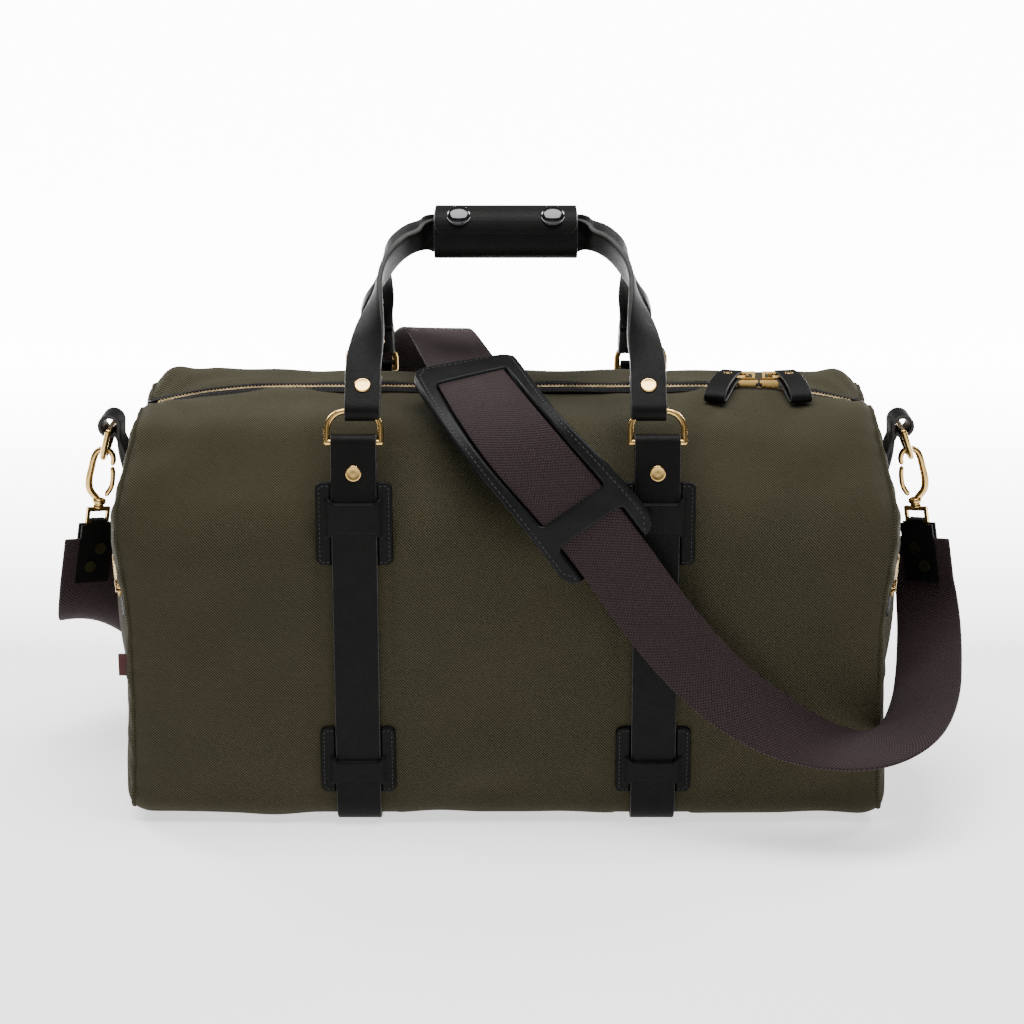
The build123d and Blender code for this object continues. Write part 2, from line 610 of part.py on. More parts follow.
def strap_section(share):
    """Middle point, way across and outward normal of the strap at a share of its route."""
    points = [Vector(*p) for p, _ in STRAP_ROUTE]
    acrosses = [Vector(*a) for _, a in STRAP_ROUTE]
    step = 1e-3
    here = on_spline(points, share)
    along = (on_spline(points, min(share + step, 1)) - on_spline(points, max(share - step, 0))).normalized()
    across = on_spline(acrosses, share)
    across = (across - along * across.dot(along)).normalized()
    return here, across, across.cross(along).normalized()


def ribbon(first, last, stations, width_at, thickness, lift):
    """A flat band along part of the strap's route, lifted along its normal."""
    sections = []
    for i in range(stations + 1):
        share = first + (last - first) * i / stations
        here, across, normal = strap_section(share)
        sections.append(quad(here + normal * lift, across, normal, width_at(i / stations), thickness))
    return Solid.make_loft(sections, ruled=True)


def shoulder_strap():
    webbing = ribbon(0, 1, STRAP_STATIONS, lambda _: WEB_W, WEB_T, 0)
    for side in ("left", "right"):
        holes = chain_plane(side) * (Rot(0, 0, -TAB_YAW) * tab_holes())
        webbing -= mirrored(holes, side)
    save(webbing, "shoulder_webbing")
    _, _, normal = strap_section(sum(PAD_SPAN) / 2)
    inner = -1 if normal.Z - normal.Y > 0 else 1
    lift = inner * (WEB_T / 2 + 0.4 + PAD_T / 2)

    def width_at(t):
        return PAD_W * (0.82 + 0.18 * sqrt(max(0.0, 1 - (2 * t - 1) ** 8)))

    save(ribbon(*PAD_SPAN, 24, width_at, PAD_T, lift), "shoulder_pad")
    here, across, normal = strap_section(ADJUSTER_AT)
    frame = Box(59, 22, 2.6) - Box(52, 15, 10)
    outer = normal if normal.dot(Vector(0, 0, DOME_Z) - here) < 0 else -normal
    place = Plane(origin=here + outer * (WEB_T / 2 + 5.6), x_dir=across, z_dir=outer)
    save(place * frame, "strap_adjuster")


canvas_panels()
end_panels()
pocket_sliders()
main_zip()
strap_rivets = body_straps()
strap_keepers()
handle_rings()
strap_rivets += handles()
save(Compound(strap_rivets), "strap_rivets")
grip()
end_tabs_and_rings()
hooks()
shoulder_strap()
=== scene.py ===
import math

import bpy
import numpy as np
from mathutils import Matrix, Vector


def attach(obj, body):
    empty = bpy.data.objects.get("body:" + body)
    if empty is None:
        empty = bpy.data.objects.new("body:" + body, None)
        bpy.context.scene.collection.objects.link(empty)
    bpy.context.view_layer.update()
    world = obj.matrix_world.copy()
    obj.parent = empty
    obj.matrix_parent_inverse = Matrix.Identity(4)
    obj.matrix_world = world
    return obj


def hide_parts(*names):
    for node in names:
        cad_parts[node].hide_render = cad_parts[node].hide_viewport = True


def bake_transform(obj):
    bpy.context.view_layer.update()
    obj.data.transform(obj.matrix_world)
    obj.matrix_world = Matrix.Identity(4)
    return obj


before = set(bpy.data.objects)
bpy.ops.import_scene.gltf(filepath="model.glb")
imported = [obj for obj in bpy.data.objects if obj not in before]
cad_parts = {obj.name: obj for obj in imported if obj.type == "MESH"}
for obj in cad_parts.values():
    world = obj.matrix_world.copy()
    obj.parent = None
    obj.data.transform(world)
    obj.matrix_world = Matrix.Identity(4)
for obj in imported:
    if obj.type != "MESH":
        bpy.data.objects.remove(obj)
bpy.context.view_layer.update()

# ---- dimensions, in millimetres -------------------------------------------------------
MM = 0.001
ROOT = "bag"
END_X = 268.0
HALF_DEPTH = 127.0
TOP_Z = 297.0
BASE_Z = 3.7
STRAP_X = 106.0
STRAP_W = 32.0
STRAP_T = 3.5
DOME = (37.0, 145.0, 255.0)
POCKET_TILT = 12.4
POCKET_ARC_R = 115.0
RING_C = (119.0, 283.0)
RING_DROP = 22.0
RING_LEAN = 22.0
WIRE_R = 2.25
HANDLE_X = 100.0
HANDLE_W = 25.0
HANDLE_T = 4.0
GRIP_Y = 8.6
GRIP_Z = 410.0
GRIP_LONG = 104.0
SNAP_X = 34.0
SNAP_TILT = 38.0
WEB_W = 50.0
WEB_T = 2.5

X = np.array([1.0, 0.0, 0.0])
Y = np.array([0.0, 1.0, 0.0])
Z = np.array([0.0, 0.0, 1.0])


ZIP_DIP = 14.5           # how far the canvas sinks beside the zip at its ends
ZIP_LEVEL = 150.0        # half of the stretch that stays level
SWELL_Z = 225.0          # height at which the ends are widest
TOOTH_PITCH = 2.6
POCKET_PITCH = 2.2
RIVET = (5.6, 1.3)       # radius and height of a head
GRIP_HALF = (20.0, 17.0)
GRIP_WALL = 2.4
GRIP_ROUND = 13.5
SNAP_GAP = 0.35
KEEPERS = ((196, 257, 219, 243), (25, 75, 34, 51))   # patch, then its bridge, from below
SLIDERS = (("left", 179.0, -1, 20), ("right", 195.5, 1, 9))
PULL_START = (12.0, 1.0, 304.0)
END_LOOP = (294.0, 268.0, 7.2)
HOOKS = (("left", -1, (300.615, 241.93)), ("right", 1, (302.208, 242.447)))
HOOK_HANG = 9.0
CLOTH_T = 2.0

# ---- small mesh tools -----------------------------------------------------------------
def unit(v):
    v = np.asarray(v, float)
    length = np.linalg.norm(v, axis=-1, keepdims=True)
    return v / np.where(length < 1e-9, 1, length)


def mesh_object(name, verts, faces, lay=None, smooth=True):
    mesh = bpy.data.meshes.new(name)
    mesh.from_pydata((np.asarray(verts, float) * MM).tolist(), [], faces)
    if lay is not None:
        attribute = mesh.attributes.new("lay", "FLOAT_VECTOR", "POINT")
        attribute.data.foreach_set("vector", (np.asarray(lay, float) * MM).ravel().astype(np.float32))
    mesh.update()
    if smooth:
        mesh.shade_smooth()
    obj = bpy.data.objects.new(name, mesh)
    bpy.context.scene.collection.objects.link(obj)
    return obj


def grid_faces(n, m, wrap_n, wrap_m, start=0):
    faces = []
    for i in range(n if wrap_n else n - 1):
        a, b = start + i * m, start + ((i + 1) % n) * m
        for j in range(m if wrap_m else m - 1):
            k = (j + 1) % m
            faces.append((a + j, a + k, b + k, b + j))
    return faces


def capped(n, m, start=0, both=True):
    """Faces of n rings of m points, filled at the last end or at both."""
    faces = grid_faces(n, m, False, True, start)
    if both:
        faces.append(tuple(start + m - 1 - j for j in range(m)))
    return faces + [tuple(start + (n - 1) * m + j for j in range(m))]


def turns(count):
    return np.linspace(0, 2 * math.pi, count, endpoint=False)


def resample(points, step):
    """Points at an even spacing along a polyline, and the distance along it of each."""
    points = np.asarray(points, float)
    gaps = np.linalg.norm(np.diff(points, axis=0), axis=1)
    at = np.concatenate([[0], np.cumsum(gaps)])
    count = max(2, int(round(at[-1] / step)) + 1)
    where = np.linspace(0, at[-1], count)
    return np.stack([np.interp(where, at, points[:, k]) for k in range(points.shape[1])], 1), where


def rounded(points, radii, closed=False):
    """Dense points along a flat polyline whose corners are rounded."""
    points = [np.asarray(p, float) for p in points]
    count = len(points)
    out = [] if closed else [points[0]]
    corners = range(count) if closed else range(1, count - 1)
    for i, radius in zip(corners, radii):
        here, back, on = points[i], points[i - 1], points[(i + 1) % count]
        d1, d2 = unit(back - here), unit(on - here)
        angle = math.acos(np.clip(d1 @ d2, -1, 1))
        reach = radius / math.tan(angle / 2)
        middle = here + unit(d1 + d2) * radius / math.sin(angle / 2)
        a, b = here + d1 * reach - middle, here + d2 * reach - middle
        sweep = math.acos(np.clip(unit(a) @ unit(b), -1, 1))
        for t in np.linspace(0, 1, 9):
            out.append(middle + (a * math.sin((1 - t) * sweep) + b * math.sin(t * sweep)) / math.sin(sweep))
    out.append(out[0] if closed else points[-1])
    return np.array(out)


def spline(values, per=8):
    """Catmull-Rom curve through rows of numbers."""
    v = np.asarray(values, float)
    v = np.vstack([2 * v[0] - v[1], v, 2 * v[-1] - v[-2]])
    out = []
    for i in range(1, len(v) - 2):
        for t in np.linspace(0, 1, per, endpoint=False):
            a, b, c, d = v[i - 1], v[i], v[i + 1], v[i + 2]
            out.append(0.5 * (2 * b + (c - a) * t + (2 * a - 5 * b + 4 * c - d) * t * t
                              + (3 * b - a - 3 * c + d) * t ** 3))
    out.append(v[-2])
    return np.array(out)


def profile(width, thick, corner, flat=5):
    """Cross-section of a strap: across and through it, anticlockwise."""
    a, b = width / 2 - corner, thick / 2 - corner
    out = []
    for sx, sy, turn in ((1, -1, -90), (1, 1, 0), (-1, 1, 90), (-1, -1, 180)):
        for t in np.linspace(0, 90, 4):
            angle = math.radians(turn + t)
            out.append((sx * a + corner * math.cos(angle), sy * b + corner * math.sin(angle)))
        if turn in (0, 180):
            for share in np.linspace(0, 1, flat + 2)[1:-1]:
                out.append((sx * a * (1 - 2 * share), sy * (b + corner)))
    return np.array(out)


def ribbon(name, points, across, width, thick, corner=None, widths=None, lift=0.0, closed=False, flat=5):
    """A strap along points, with rounded edges; the second material slot is its cut edge."""
    points = np.asarray(points, float)
    across = unit(np.broadcast_to(np.asarray(across, float), points.shape))
    along = np.gradient(points, axis=0)
    if closed:
        along = np.roll(points, -1, axis=0) - np.roll(points, 1, axis=0)
    along = unit(along)
    across = unit(across - along * (across * along).sum(1, keepdims=True))
    normal = np.cross(across, along)
    corner = min(thick * 0.45, 1.2) if corner is None else corner
    shape = profile(width, thick, corner, flat)
    n, m = len(points), len(shape)
    scale = np.ones(n) if widths is None else np.asarray(widths, float) / width
    centre = points + normal * lift
    a = shape[:, 0][None, :, None] * scale[:, None, None]
    b = shape[:, 1][None, :, None]
    rings = centre[:, None, :] + across[:, None, :] * a + normal[:, None, :] * b
    at = np.concatenate([[0], np.cumsum(np.linalg.norm(np.diff(points, axis=0), axis=1))])
    lay = np.empty((n, m, 3))
    lay[:, :, 0] = at[:, None]
    lay[:, :, 1] = a[:, :, 0]
    lay[:, :, 2] = b[:, :, 0]
    if not closed:
        for end, sign in ((0, -1), (-1, 1)):
            tip = rings[end] * 0.55 + centre[end] * 0.45
            keep = across[end][None] * ((rings[end] - centre[end]) @ across[end])[:, None] * 0.42
            extra = tip + keep + along[end] * sign * thick * 0.22
            rings = np.vstack([extra[None], rings]) if end == 0 else np.vstack([rings, extra[None]])
            lay = np.vstack([lay[:1], lay]) if end == 0 else np.vstack([lay, lay[-1:]])
        n += 2
    faces = grid_faces(n, m, True, True) if closed else capped(n, m)
    obj = mesh_object(name, rings.reshape(-1, 3), faces, lay.reshape(-1, 3))
    side = np.abs(shape[:, 0]) > width / 2 - corner * 0.75
    edge = np.array([side[j] and side[(j + 1) % m] for j in range(m)])
    index = np.zeros(len(faces), int)
    index[:len(faces) - (0 if closed else 2)] = np.tile(edge, (len(faces) - (0 if closed else 2)) // m)
    return obj, index


def paint(obj, *mats, index=None):
    for material in mats:
        obj.data.materials.append(material)
    if index is not None and len(mats) > 1:
        obj.data.polygons.foreach_set("material_index", index.astype(np.int32))
    return obj


def leather_strap(*shape, **more):
    """A leather ribbon with its cut edge showing."""
    strap, index = ribbon(*shape, **more)
    return paint(strap, LEATHER, EDGE, index=index)


def done(obj, body, slot, *nodes):
    if body:
        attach(obj, body)
    if nodes:
        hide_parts(*nodes)
    return obj


def join(name, objs):
    """One object out of several."""
    with bpy.context.temp_override(active_object=objs[0], selected_editable_objects=objs):
        bpy.ops.object.join()
    objs[0].name = name
    return objs[0]


def tube(name, points, radii, segments=16):
    """A round rod along points, its radius changing along it, with rounded ends."""
    table, _ = resample(np.hstack([points, np.asarray(radii, float)[:, None]]), 0.8)
    line, radius = table[:, :3], table[:, 3].copy()
    along = unit(np.gradient(line, axis=0))
    side = unit(np.cross(along, [0.02, 1.0, 0.01]))
    other = np.cross(along, side)
    for i, share in enumerate((0.45, 0.8, 0.95)):
        radius[i] *= share
        radius[-1 - i] *= share
    turn = turns(segments)
    rings = line[:, None] + radius[:, None, None] * (side[:, None] * np.cos(turn)[None, :, None]
                                                    + other[:, None] * np.sin(turn)[None, :, None])
    return mesh_object(name, rings.reshape(-1, 3), capped(len(line), segments))


def moulded(name, place, half_u, half_v, corner, height, floor_h, step=0.9):
    """A leather plate with round corners whose top follows height(u, v); place maps (u, v, h) to a point."""
    vs = np.linspace(-half_v, half_v, int(2 * half_v / step))
    ts = np.linspace(-1, 1, int(2 * (half_u(0.0) if callable(half_u) else half_u) / step))
    d = half_v - np.abs(vs)
    cut = corner - np.sqrt(np.clip(corner ** 2 - np.clip(corner - d, 0, None) ** 2, 0, None))
    wide = half_u(vs) - cut if callable(half_u) else half_u - cut
    u = ts[None] * wide[:, None]
    v = np.tile(vs[:, None], (1, len(ts)))
    rim = np.minimum(wide[:, None] - np.abs(u), d[:, None])
    lip = 1 - (1 - np.clip(rim / 1.1, 0, 1)) ** 2.5
    top = floor_h + (height(u, v) - floor_h) * (0.25 + 0.75 * lip)
    upper = place(u, v, top)
    lower = place(u, v, np.full_like(u, floor_h))
    n, m = u.shape
    verts = np.vstack([upper.reshape(-1, 3), lower.reshape(-1, 3)])
    faces = grid_faces(n, m, False, False) + [f[::-1] for f in grid_faces(n, m, False, False, n * m)]
    loop = [j for j in range(m)] + [i * m + m - 1 for i in range(1, n)] + \
        [(n - 1) * m + j for j in range(m - 2, -1, -1)] + [i * m for i in range(n - 2, 0, -1)]
    for a, b in zip(loop, loop[1:] + loop[:1]):
        faces.append((b, a, a + n * m, b + n * m))
    return mesh_object(name, verts, faces)


def box_distance(u, v, centre, half, corner):
    """Distance outside a rectangle with round corners, negative inside."""
    du = np.abs(u - centre[0]) - half[0] + corner
    dv = np.abs(v - centre[1]) - half[1] + corner
    outside = np.hypot(np.maximum(du, 0), np.maximum(dv, 0))
    return outside + np.minimum(np.maximum(du, dv), 0) - corner


def waves(p, wavelength, seed, count=6):
    """Smooth bumps from -1 to 1 over points, as a sum of sines in seeded directions."""
    rng = np.random.default_rng(seed)
    total = np.zeros(p.shape[:-1])
    for _ in range(count):
        direction = unit(rng.normal(size=p.shape[-1]))
        length = wavelength * rng.uniform(0.7, 1.5)
        total += np.sin(p @ direction * 2 * math.pi / length + rng.uniform(0, 2 * math.pi))
    return total / math.sqrt(count * 1.6)


def smooth(t):
    t = np.clip(t, 0, 1)
    return t * t * (3 - 2 * t)


# ---- materials ------------------------------------------------------------------------
class Recipe:
    """A node material being built; a value is a constant or another node's output."""

    def __init__(self, name):
        self.material = bpy.data.materials.new(name)
        self.material.use_nodes = True
        self.nodes = self.material.node_tree.nodes

    def plug(self, made, values):
        for key, value in values.items():
            if isinstance(value, bpy.types.NodeSocket):
                self.material.node_tree.links.new(value, made.inputs[key])
            else:
                made.inputs[key].default_value = value

    def add(self, kind, values, **settings):
        made = self.nodes.new("ShaderNode" + kind)
        for key, value in settings.items():
            setattr(made, key, value)
        self.plug(made, values)
        return made.outputs

    def lay(self):
        return self.add("Attribute", {}, attribute_name="lay")["Vector"]

    def place(self):
        return self.add("TexCoord", {})["Object"]

    def noise(self, vector, scale, detail=3.0, roughness=0.55):
        return self.add("TexNoise", {"Vector": vector, "Scale": scale, "Detail": detail,
                                     "Roughness": roughness})["Fac"]

    def ramp(self, value, low, high, to_low=0.0, to_high=1.0):
        return self.add("MapRange", {"Value": value, "From Min": low, "From Max": high,
                                     "To Min": to_low, "To Max": to_high})["Result"]

    def mix(self, factor, *colours):
        a, b = (c if isinstance(c, bpy.types.NodeSocket) else (*c, 1) for c in colours)
        return self.add("Mix", {"Factor": factor, "A": a, "B": b}, data_type="RGBA")["Result"]

    def bump(self, height, strength, distance, under=None):
        values = {"Height": height, "Strength": strength, "Distance": distance}
        return self.add("Bump", values if under is None else {**values, "Normal": under})["Normal"]

    def vary(self, colour, value):
        return self.add("HueSaturation", {"Color": colour, "Value": value})["Color"]

    def finish(self, values):
        self.plug(self.nodes["Principled BSDF"], values)
        return self.material


def scaled(colour, share):
    return tuple(c * share for c in colour)


def canvas_material(name, dark, light, warm):
    """Fine diagonal twill with a faded, uneven dye."""
    r = Recipe(name)
    where = r.lay()
    leaning = r.add("Mapping", {"Vector": where, "Scale": (1, -1, 1)})["Vector"]
    twill = r.add("TexWave", {"Vector": leaning, "Scale": 300.0, "Distortion": 0.9, "Detail": 2.0,
                              "Detail Scale": 2.0}, wave_type="BANDS", bands_direction="DIAGONAL")["Fac"]
    thread = r.add("TexWave", {"Vector": where, "Scale": 700.0, "Distortion": 2.0},
                   wave_type="BANDS", bands_direction="X")["Fac"]
    shade = r.mix(r.ramp(r.noise(where, 7.0, 4.0, 0.6), 0.35, 0.68), dark, warm)
    tint = r.mix(r.ramp(twill, 0.35, 0.95, 0.0, 0.85), shade, light)
    flecks = r.ramp(r.noise(where, 1500.0, 2.0), 0.3, 0.75, 0.82, 1.18)
    relief = r.bump(thread, 0.25, 0.0002, r.bump(twill, 0.55, 0.0004))
    relief = r.bump(r.noise(where, 45.0, 3.0), 0.25, 0.0015, relief)
    return r.finish({"Base Color": r.vary(tint, flecks), "Normal": relief, "Roughness": 0.88,
                     "Specular IOR Level": 0.1, "Sheen Weight": 0.03, "Sheen Roughness": 0.6})


def leather_material(name, colour, rough=0.46, grain=900.0, depth=0.25):
    r = Recipe(name)
    where = r.place()
    cells = r.add("TexVoronoi", {"Vector": where, "Scale": grain})["Distance"]
    soft = r.noise(where, 60.0, 4.0, 0.6)
    fine = r.noise(where, 700.0, 3.0, 0.6)
    return r.finish({"Base Color": r.mix(r.ramp(soft, 0.35, 0.7), colour, scaled(colour, 1.7)),
                     "Roughness": r.ramp(fine, 0.3, 0.7, rough - 0.06, rough + 0.1),
                     "Normal": r.bump(soft, 0.12, 0.002, r.bump(cells, depth, 0.0004)),
                     "Specular IOR Level": 0.1})


def webbing_material():
    """Coarse basket weave, following the strap."""
    r = Recipe("webbing")
    where = r.lay()
    split = r.add("SeparateXYZ", {0: where})

    def wave(axis, pitch):
        turn = r.add("Math", {0: split[axis], 1: 2 * math.pi / pitch, 2: 0.0}, operation="MULTIPLY_ADD")[0]
        return r.add("Math", {0: turn}, operation="SINE")[0]

    check = r.add("Math", {0: wave("X", 0.0024), 1: wave("Y", 0.0030)}, operation="MULTIPLY")[0]
    height = r.ramp(check, -1.0, 1.0)
    fuzz = r.noise(where, 1800.0, 3.0, 0.7)
    tone = r.mix(height, (0.008, 0.0044, 0.0047), (0.034, 0.0192, 0.0198))
    return r.finish({"Base Color": r.vary(tone, r.ramp(fuzz, 0.3, 0.7, 0.7, 1.3)),
                     "Normal": r.bump(fuzz, 0.3, 0.0003, r.bump(height, 0.8, 0.0007)),
                     "Roughness": 0.8, "Specular IOR Level": 0.2})


def brass_material(name="brass", colour=(0.66, 0.43, 0.15), rough=0.2):
    r = Recipe(name)
    where = r.place()
    cloud = r.noise(where, 70.0, 4.0, 0.6)
    fine = r.noise(where, 900.0, 2.0, 0.5)
    return r.finish({"Base Color": r.mix(r.ramp(cloud, 0.35, 0.7), scaled(colour, 0.86), colour),
                     "Roughness": r.ramp(cloud, 0.3, 0.75, rough - 0.06, rough + 0.1),
                     "Normal": r.bump(fine, 0.06, 0.0003), "Metallic": 1.0})


def plain_material(name, colour, rough, grain=800.0, depth=0.15, metallic=0.0, coat=0.0):
    r = Recipe(name)
    fine = r.noise(r.place(), grain, 3.0, 0.6)
    return r.finish({"Base Color": r.mix(fine, scaled(colour, 0.8), scaled(colour, 1.2)),
                     "Roughness": r.ramp(fine, 0.3, 0.7, rough * 0.9, rough * 1.1),
                     "Normal": r.bump(fine, depth, 0.0004), "Metallic": metallic, "Coat Weight": coat})


CANVAS = canvas_material("canvas", (0.0118, 0.0109, 0.0052), (0.064, 0.0585, 0.031), (0.0185, 0.0148, 0.0066))
LEATHER = leather_material("leather", (0.0020, 0.0018, 0.0016), 0.56)
SMOOTH = leather_material("smooth_leather", (0.005, 0.005, 0.0052), 0.4, 1500.0, 0.1)
PEBBLED = leather_material("pebbled_leather", (0.006, 0.0055, 0.0055), 0.42, 520.0, 0.6)
EDGE = leather_material("leather_edge", (0.032, 0.031, 0.03), 0.36, 700.0, 0.3)
THREAD = plain_material("thread", (0.006, 0.0055, 0.0055), 0.6, 3000.0, 0.4)
TAPE = plain_material("zip_tape", (0.012, 0.011, 0.01), 0.85, 1600.0, 0.5)
BRASS = brass_material()
TEETH = brass_material("zip_brass", (0.78, 0.60, 0.34), 0.32)
DARK_BRASS = brass_material("antique_brass", (0.16, 0.15, 0.08), 0.3)
SNAP = plain_material("snap_enamel", (0.006, 0.006, 0.008), 0.16, 300.0, 0.03, 0.6, 0.6)
LINING = plain_material("lining", (0.03, 0.028, 0.026), 0.9)
TAG = plain_material("tag", (0.05, 0.007, 0.007), 0.8, 2200.0, 0.5)
WEBBING = webbing_material()

# ---- camera ---------------------------------------------------------------------------
camera = bpy.data.objects.new("camera", bpy.data.cameras.new("camera"))
bpy.context.scene.collection.objects.link(camera)
camera.location = (0.0045, -1.7675, 0.7053)
target = Vector((0.0045, 0.0, 0.1985))
camera.rotation_euler = (target - camera.location).to_track_quat("-Z", "Y").to_euler()
camera.data.sensor_width = 36.0
camera.data.lens = 85.78
camera.data.clip_end = 50.0
bpy.context.scene.camera = camera

# ---- shoulder strap -------------------------------------------------------------------
STRAP_ROUTE = [
    ((-310.8, 0.0, 177.7), (-0.8, -0.6, 0.0)),
    ((-314.1, 0.0, 157.0), (-0.8, -0.6, 0.0)),
    ((-317.5, 0.0, 135.3), (-0.8, -0.6, 0.0)),
    ((-319.0, 11.0, 114.0), (-0.85, -0.45, 0.15)),
    ((-317.0, 34.0, 100.0), (-0.85, -0.25, 0.4)),
    ((-308.0, 72.0, 95.0), (-0.65, -0.1, 0.75)),
    ((-293.0, 116.0, 102.0), (-0.4, -0.1, 0.9)),
    ((-262.0, 150.0, 122.0), (-0.3, 0.0, 0.95)),
    ((-220.0, 162.0, 150.0), (-0.4, 0.0, 0.92)),
    ((-170.0, 164.0, 188.0), (-0.55, 0.0, 0.83)),
    ((-125.0, 160.0, 228.0), (-0.7, 0.0, 0.7)),
    ((-88.0, 154.0, 266.0), (-0.88, 0.0, 0.47)),
    ((-66.0, 137.0, 300.0), (-0.96, 0.0, 0.25)),
    ((-55.0, 100.0, 320.0), (-0.98, -0.12, 0.05)),
    ((-48.0, 50.0, 325.0), (-0.97, -0.2, 0.0)),
    ((-40.0, 5.0, 323.0), (-0.96, -0.26, -0.05)),
    ((-26.0, -48.0, 314.0), (-0.93, -0.28, -0.15)),
    ((-9.0, -95.0, 300.0), (-0.9, -0.2, -0.35)),
    ((12.0, -127.0, 280.0), (-0.86, -0.05, -0.5)),
    ((38.0, -141.0, 254.0), (-0.82, 0.0, -0.57)),
    ((68.0, -146.0, 218.0), (-0.8, 0.0, -0.6)),
    ((108.0, -150.0, 160.0), (-0.79, -0.12, -0.6)),
    ((148.0, -156.0, 116.0), (-0.62, -0.42, -0.66)),
    ((186.0, -161.0, 90.0), (-0.36, -0.66, -0.66)),
    ((226.0, -165.0, 74.0), (-0.08, -0.93, -0.36)),
    ((259.0, -165.0, 71.0), (0.25, -0.95, -0.15)),
    ((288.0, -145.0, 76.0), (0.45, -0.89, 0.0)),
    ((305.0, -103.0, 86.0), (0.6, -0.8, 0.0)),
    ((314.0, -58.0, 97.0), (0.68, -0.72, 0.05)),
    ((319.5, -19.0, 114.0), (0.74, -0.66, 0.05)),
    ((319.1, 0.0, 135.8), (0.8, -0.6, 0.0)),
    ((315.7, 0.0, 157.5), (0.8, -0.6, 0.0)),
    ((312.4, 0.0, 178.2), (0.8, -0.6, 0.0)),
]
PAD_SPAN = (0.484, 0.636)
PAD_W = 78.0
PAD_CORNER = 13.0
PAD_WINDOW = (-10.0, 72.0)
PAD_TAIL = 82.0


def nurbs_points(rows):
    """Points in millimetres along the NURBS curve with the given control points."""
    curve = bpy.data.curves.new("line", "CURVE")
    curve.dimensions = "3D"
    path = curve.splines.new("NURBS")
    path.points.add(len(rows) - 1)
    for point, row in zip(path.points, rows):
        point.co = (*(c * MM for c in row), 1)
    path.order_u = 3
    path.use_endpoint_u = True
    path.resolution_u = 12
    holder = bpy.data.objects.new("line", curve)
    bpy.context.scene.collection.objects.link(holder)
    mesh = bpy.data.meshes.new_from_object(holder)
    out = np.array([v.co for v in mesh.vertices]) / MM
    bpy.data.objects.remove(holder)
    bpy.data.meshes.remove(mesh)
    return out


strap_line = nurbs_points([p for p, _ in STRAP_ROUTE])
strap_across = unit(nurbs_points([np.array(a) * 100 for _, a in STRAP_ROUTE]))
strap_share = np.linspace(0, 1, len(strap_line))


def strap_part(first, last, step=3.0):
    """Middle line and way across it for part of the shoulder strap, at an even spacing."""
    keep = (strap_share >= first) & (strap_share <= last)
    both, _ = resample(np.hstack([strap_line[keep], strap_across[keep] * 0.01]), step)
    return both[:, :3], unit(both[:, 3:])


def shoulder_strap():
    points, across = strap_part(0, 1)
    web, _ = ribbon("shoulder_strap", points, across, WEB_W, WEB_T, 1.0, flat=9)
    paint(web, WEBBING)
    done(web, ROOT, "webbing", "shoulder_webbing")
    points, across = strap_part(*PAD_SPAN, 2.0)
    along = unit(np.gradient(points, axis=0))
    normal = np.cross(unit(across - along * (across * along).sum(1, keepdims=True)), along)
    outer = 1 if normal[len(normal) // 2] @ np.array([0, -1, 0.5]) > 0 else -1
    length = float(np.linalg.norm(np.diff(points, axis=0), axis=1).sum())
    at = np.linspace(-length / 2, length / 2, len(points))

    def place(u, v, h):
        def track(rows):
            return np.stack([np.interp(v, at, rows[:, k]) for k in range(3)], -1)
        return track(points) + unit(track(across)) * u[..., None] + unit(track(normal)) * outer * h[..., None]

    def half_width(v):
        return PAD_W / 2 * (1 - 0.07 * (1 - (2 * np.asarray(v) / length) ** 2) ** 2)

    def height(u, v):
        window = box_distance(u, v, (0, PAD_WINDOW[0]), (26.2, PAD_WINDOW[1]), 2.5)
        tail = box_distance(u, v, (0, PAD_TAIL + 60), (26.2, 60), 2.5)
        open_here = np.minimum(window, tail)
        full = 2.7 + 0.5 * np.exp(-(u / 27) ** 2)
        return -2.4 + (full + 2.4) * smooth((open_here + 0.3) / 1.7)

    pad = moulded("shoulder_pad", place, half_width, length / 2, PAD_CORNER, height, -4.6)
    paint(pad, SMOOTH)
    rows = []
    v = np.linspace(-length / 2 + 5, length / 2 - 5, 60)
    for side in (1, -1):
        u = side * (half_width(v) - 4.0 - 5.0 * smooth((np.abs(v) - length / 2 + 14) / 9.0))
        h = np.full(60, 2.9)
        rows.append((place(u, v, h), place(u, v, h + 1) - place(u, v, h)))
    u = np.linspace(-half_width(0) + 10, half_width(0) - 10, 30)
    v = np.full(30, -length / 2 + 4.5)
    rows.append((place(u, v, np.full(30, 3.1)), place(u, v, np.full(30, 4.1)) - place(u, v, np.full(30, 3.1))))
    pad = join("shoulder_pad_leather", [pad, stitches("pad_stitches", rows, 4.0, 2.6, 0.42)])
    done(pad, ROOT, "leather", "shoulder_pad")
    return web, pad, strap_line


def stitches(name, rows, pitch, length, radius):
    """Thread showing as short dashes along lines; each row is (points, surface normals)."""
    verts, faces = [], []
    ring = [(math.cos(a), math.sin(a)) for a in turns(6)]
    for line, normals in rows:
        both, at = resample(np.hstack([line, np.asarray(normals) * 0.01]), pitch)
        spots, ups = both[:, :3], unit(both[:, 3:])
        dirs = unit(np.gradient(spots, axis=0))
        for p, up, d in zip(spots, ups, dirs):
            side = np.cross(up, d)
            base = len(verts)
            for s, r in ((-0.5, 0.3), (-0.32, 0.9), (0.32, 0.9), (0.5, 0.3)):
                for c, q in ring:
                    verts.append(p + d * s * length + side * c * r * radius * 1.2 + up * q * r * radius)
            faces += capped(4, 6, base)
    obj = mesh_object(name, verts, faces)
    return paint(obj, THREAD)


web, pad, web_path = shoulder_strap()

# ---- canvas body ----------------------------------------------------------------------
def zip_height(x):
    """Height of the canvas beside the zip."""
    return TOP_Z - 2.5 - ZIP_DIP * np.clip((np.abs(x) - ZIP_LEVEL) / (END_X - ZIP_LEVEL), 0, 1) ** 2.4


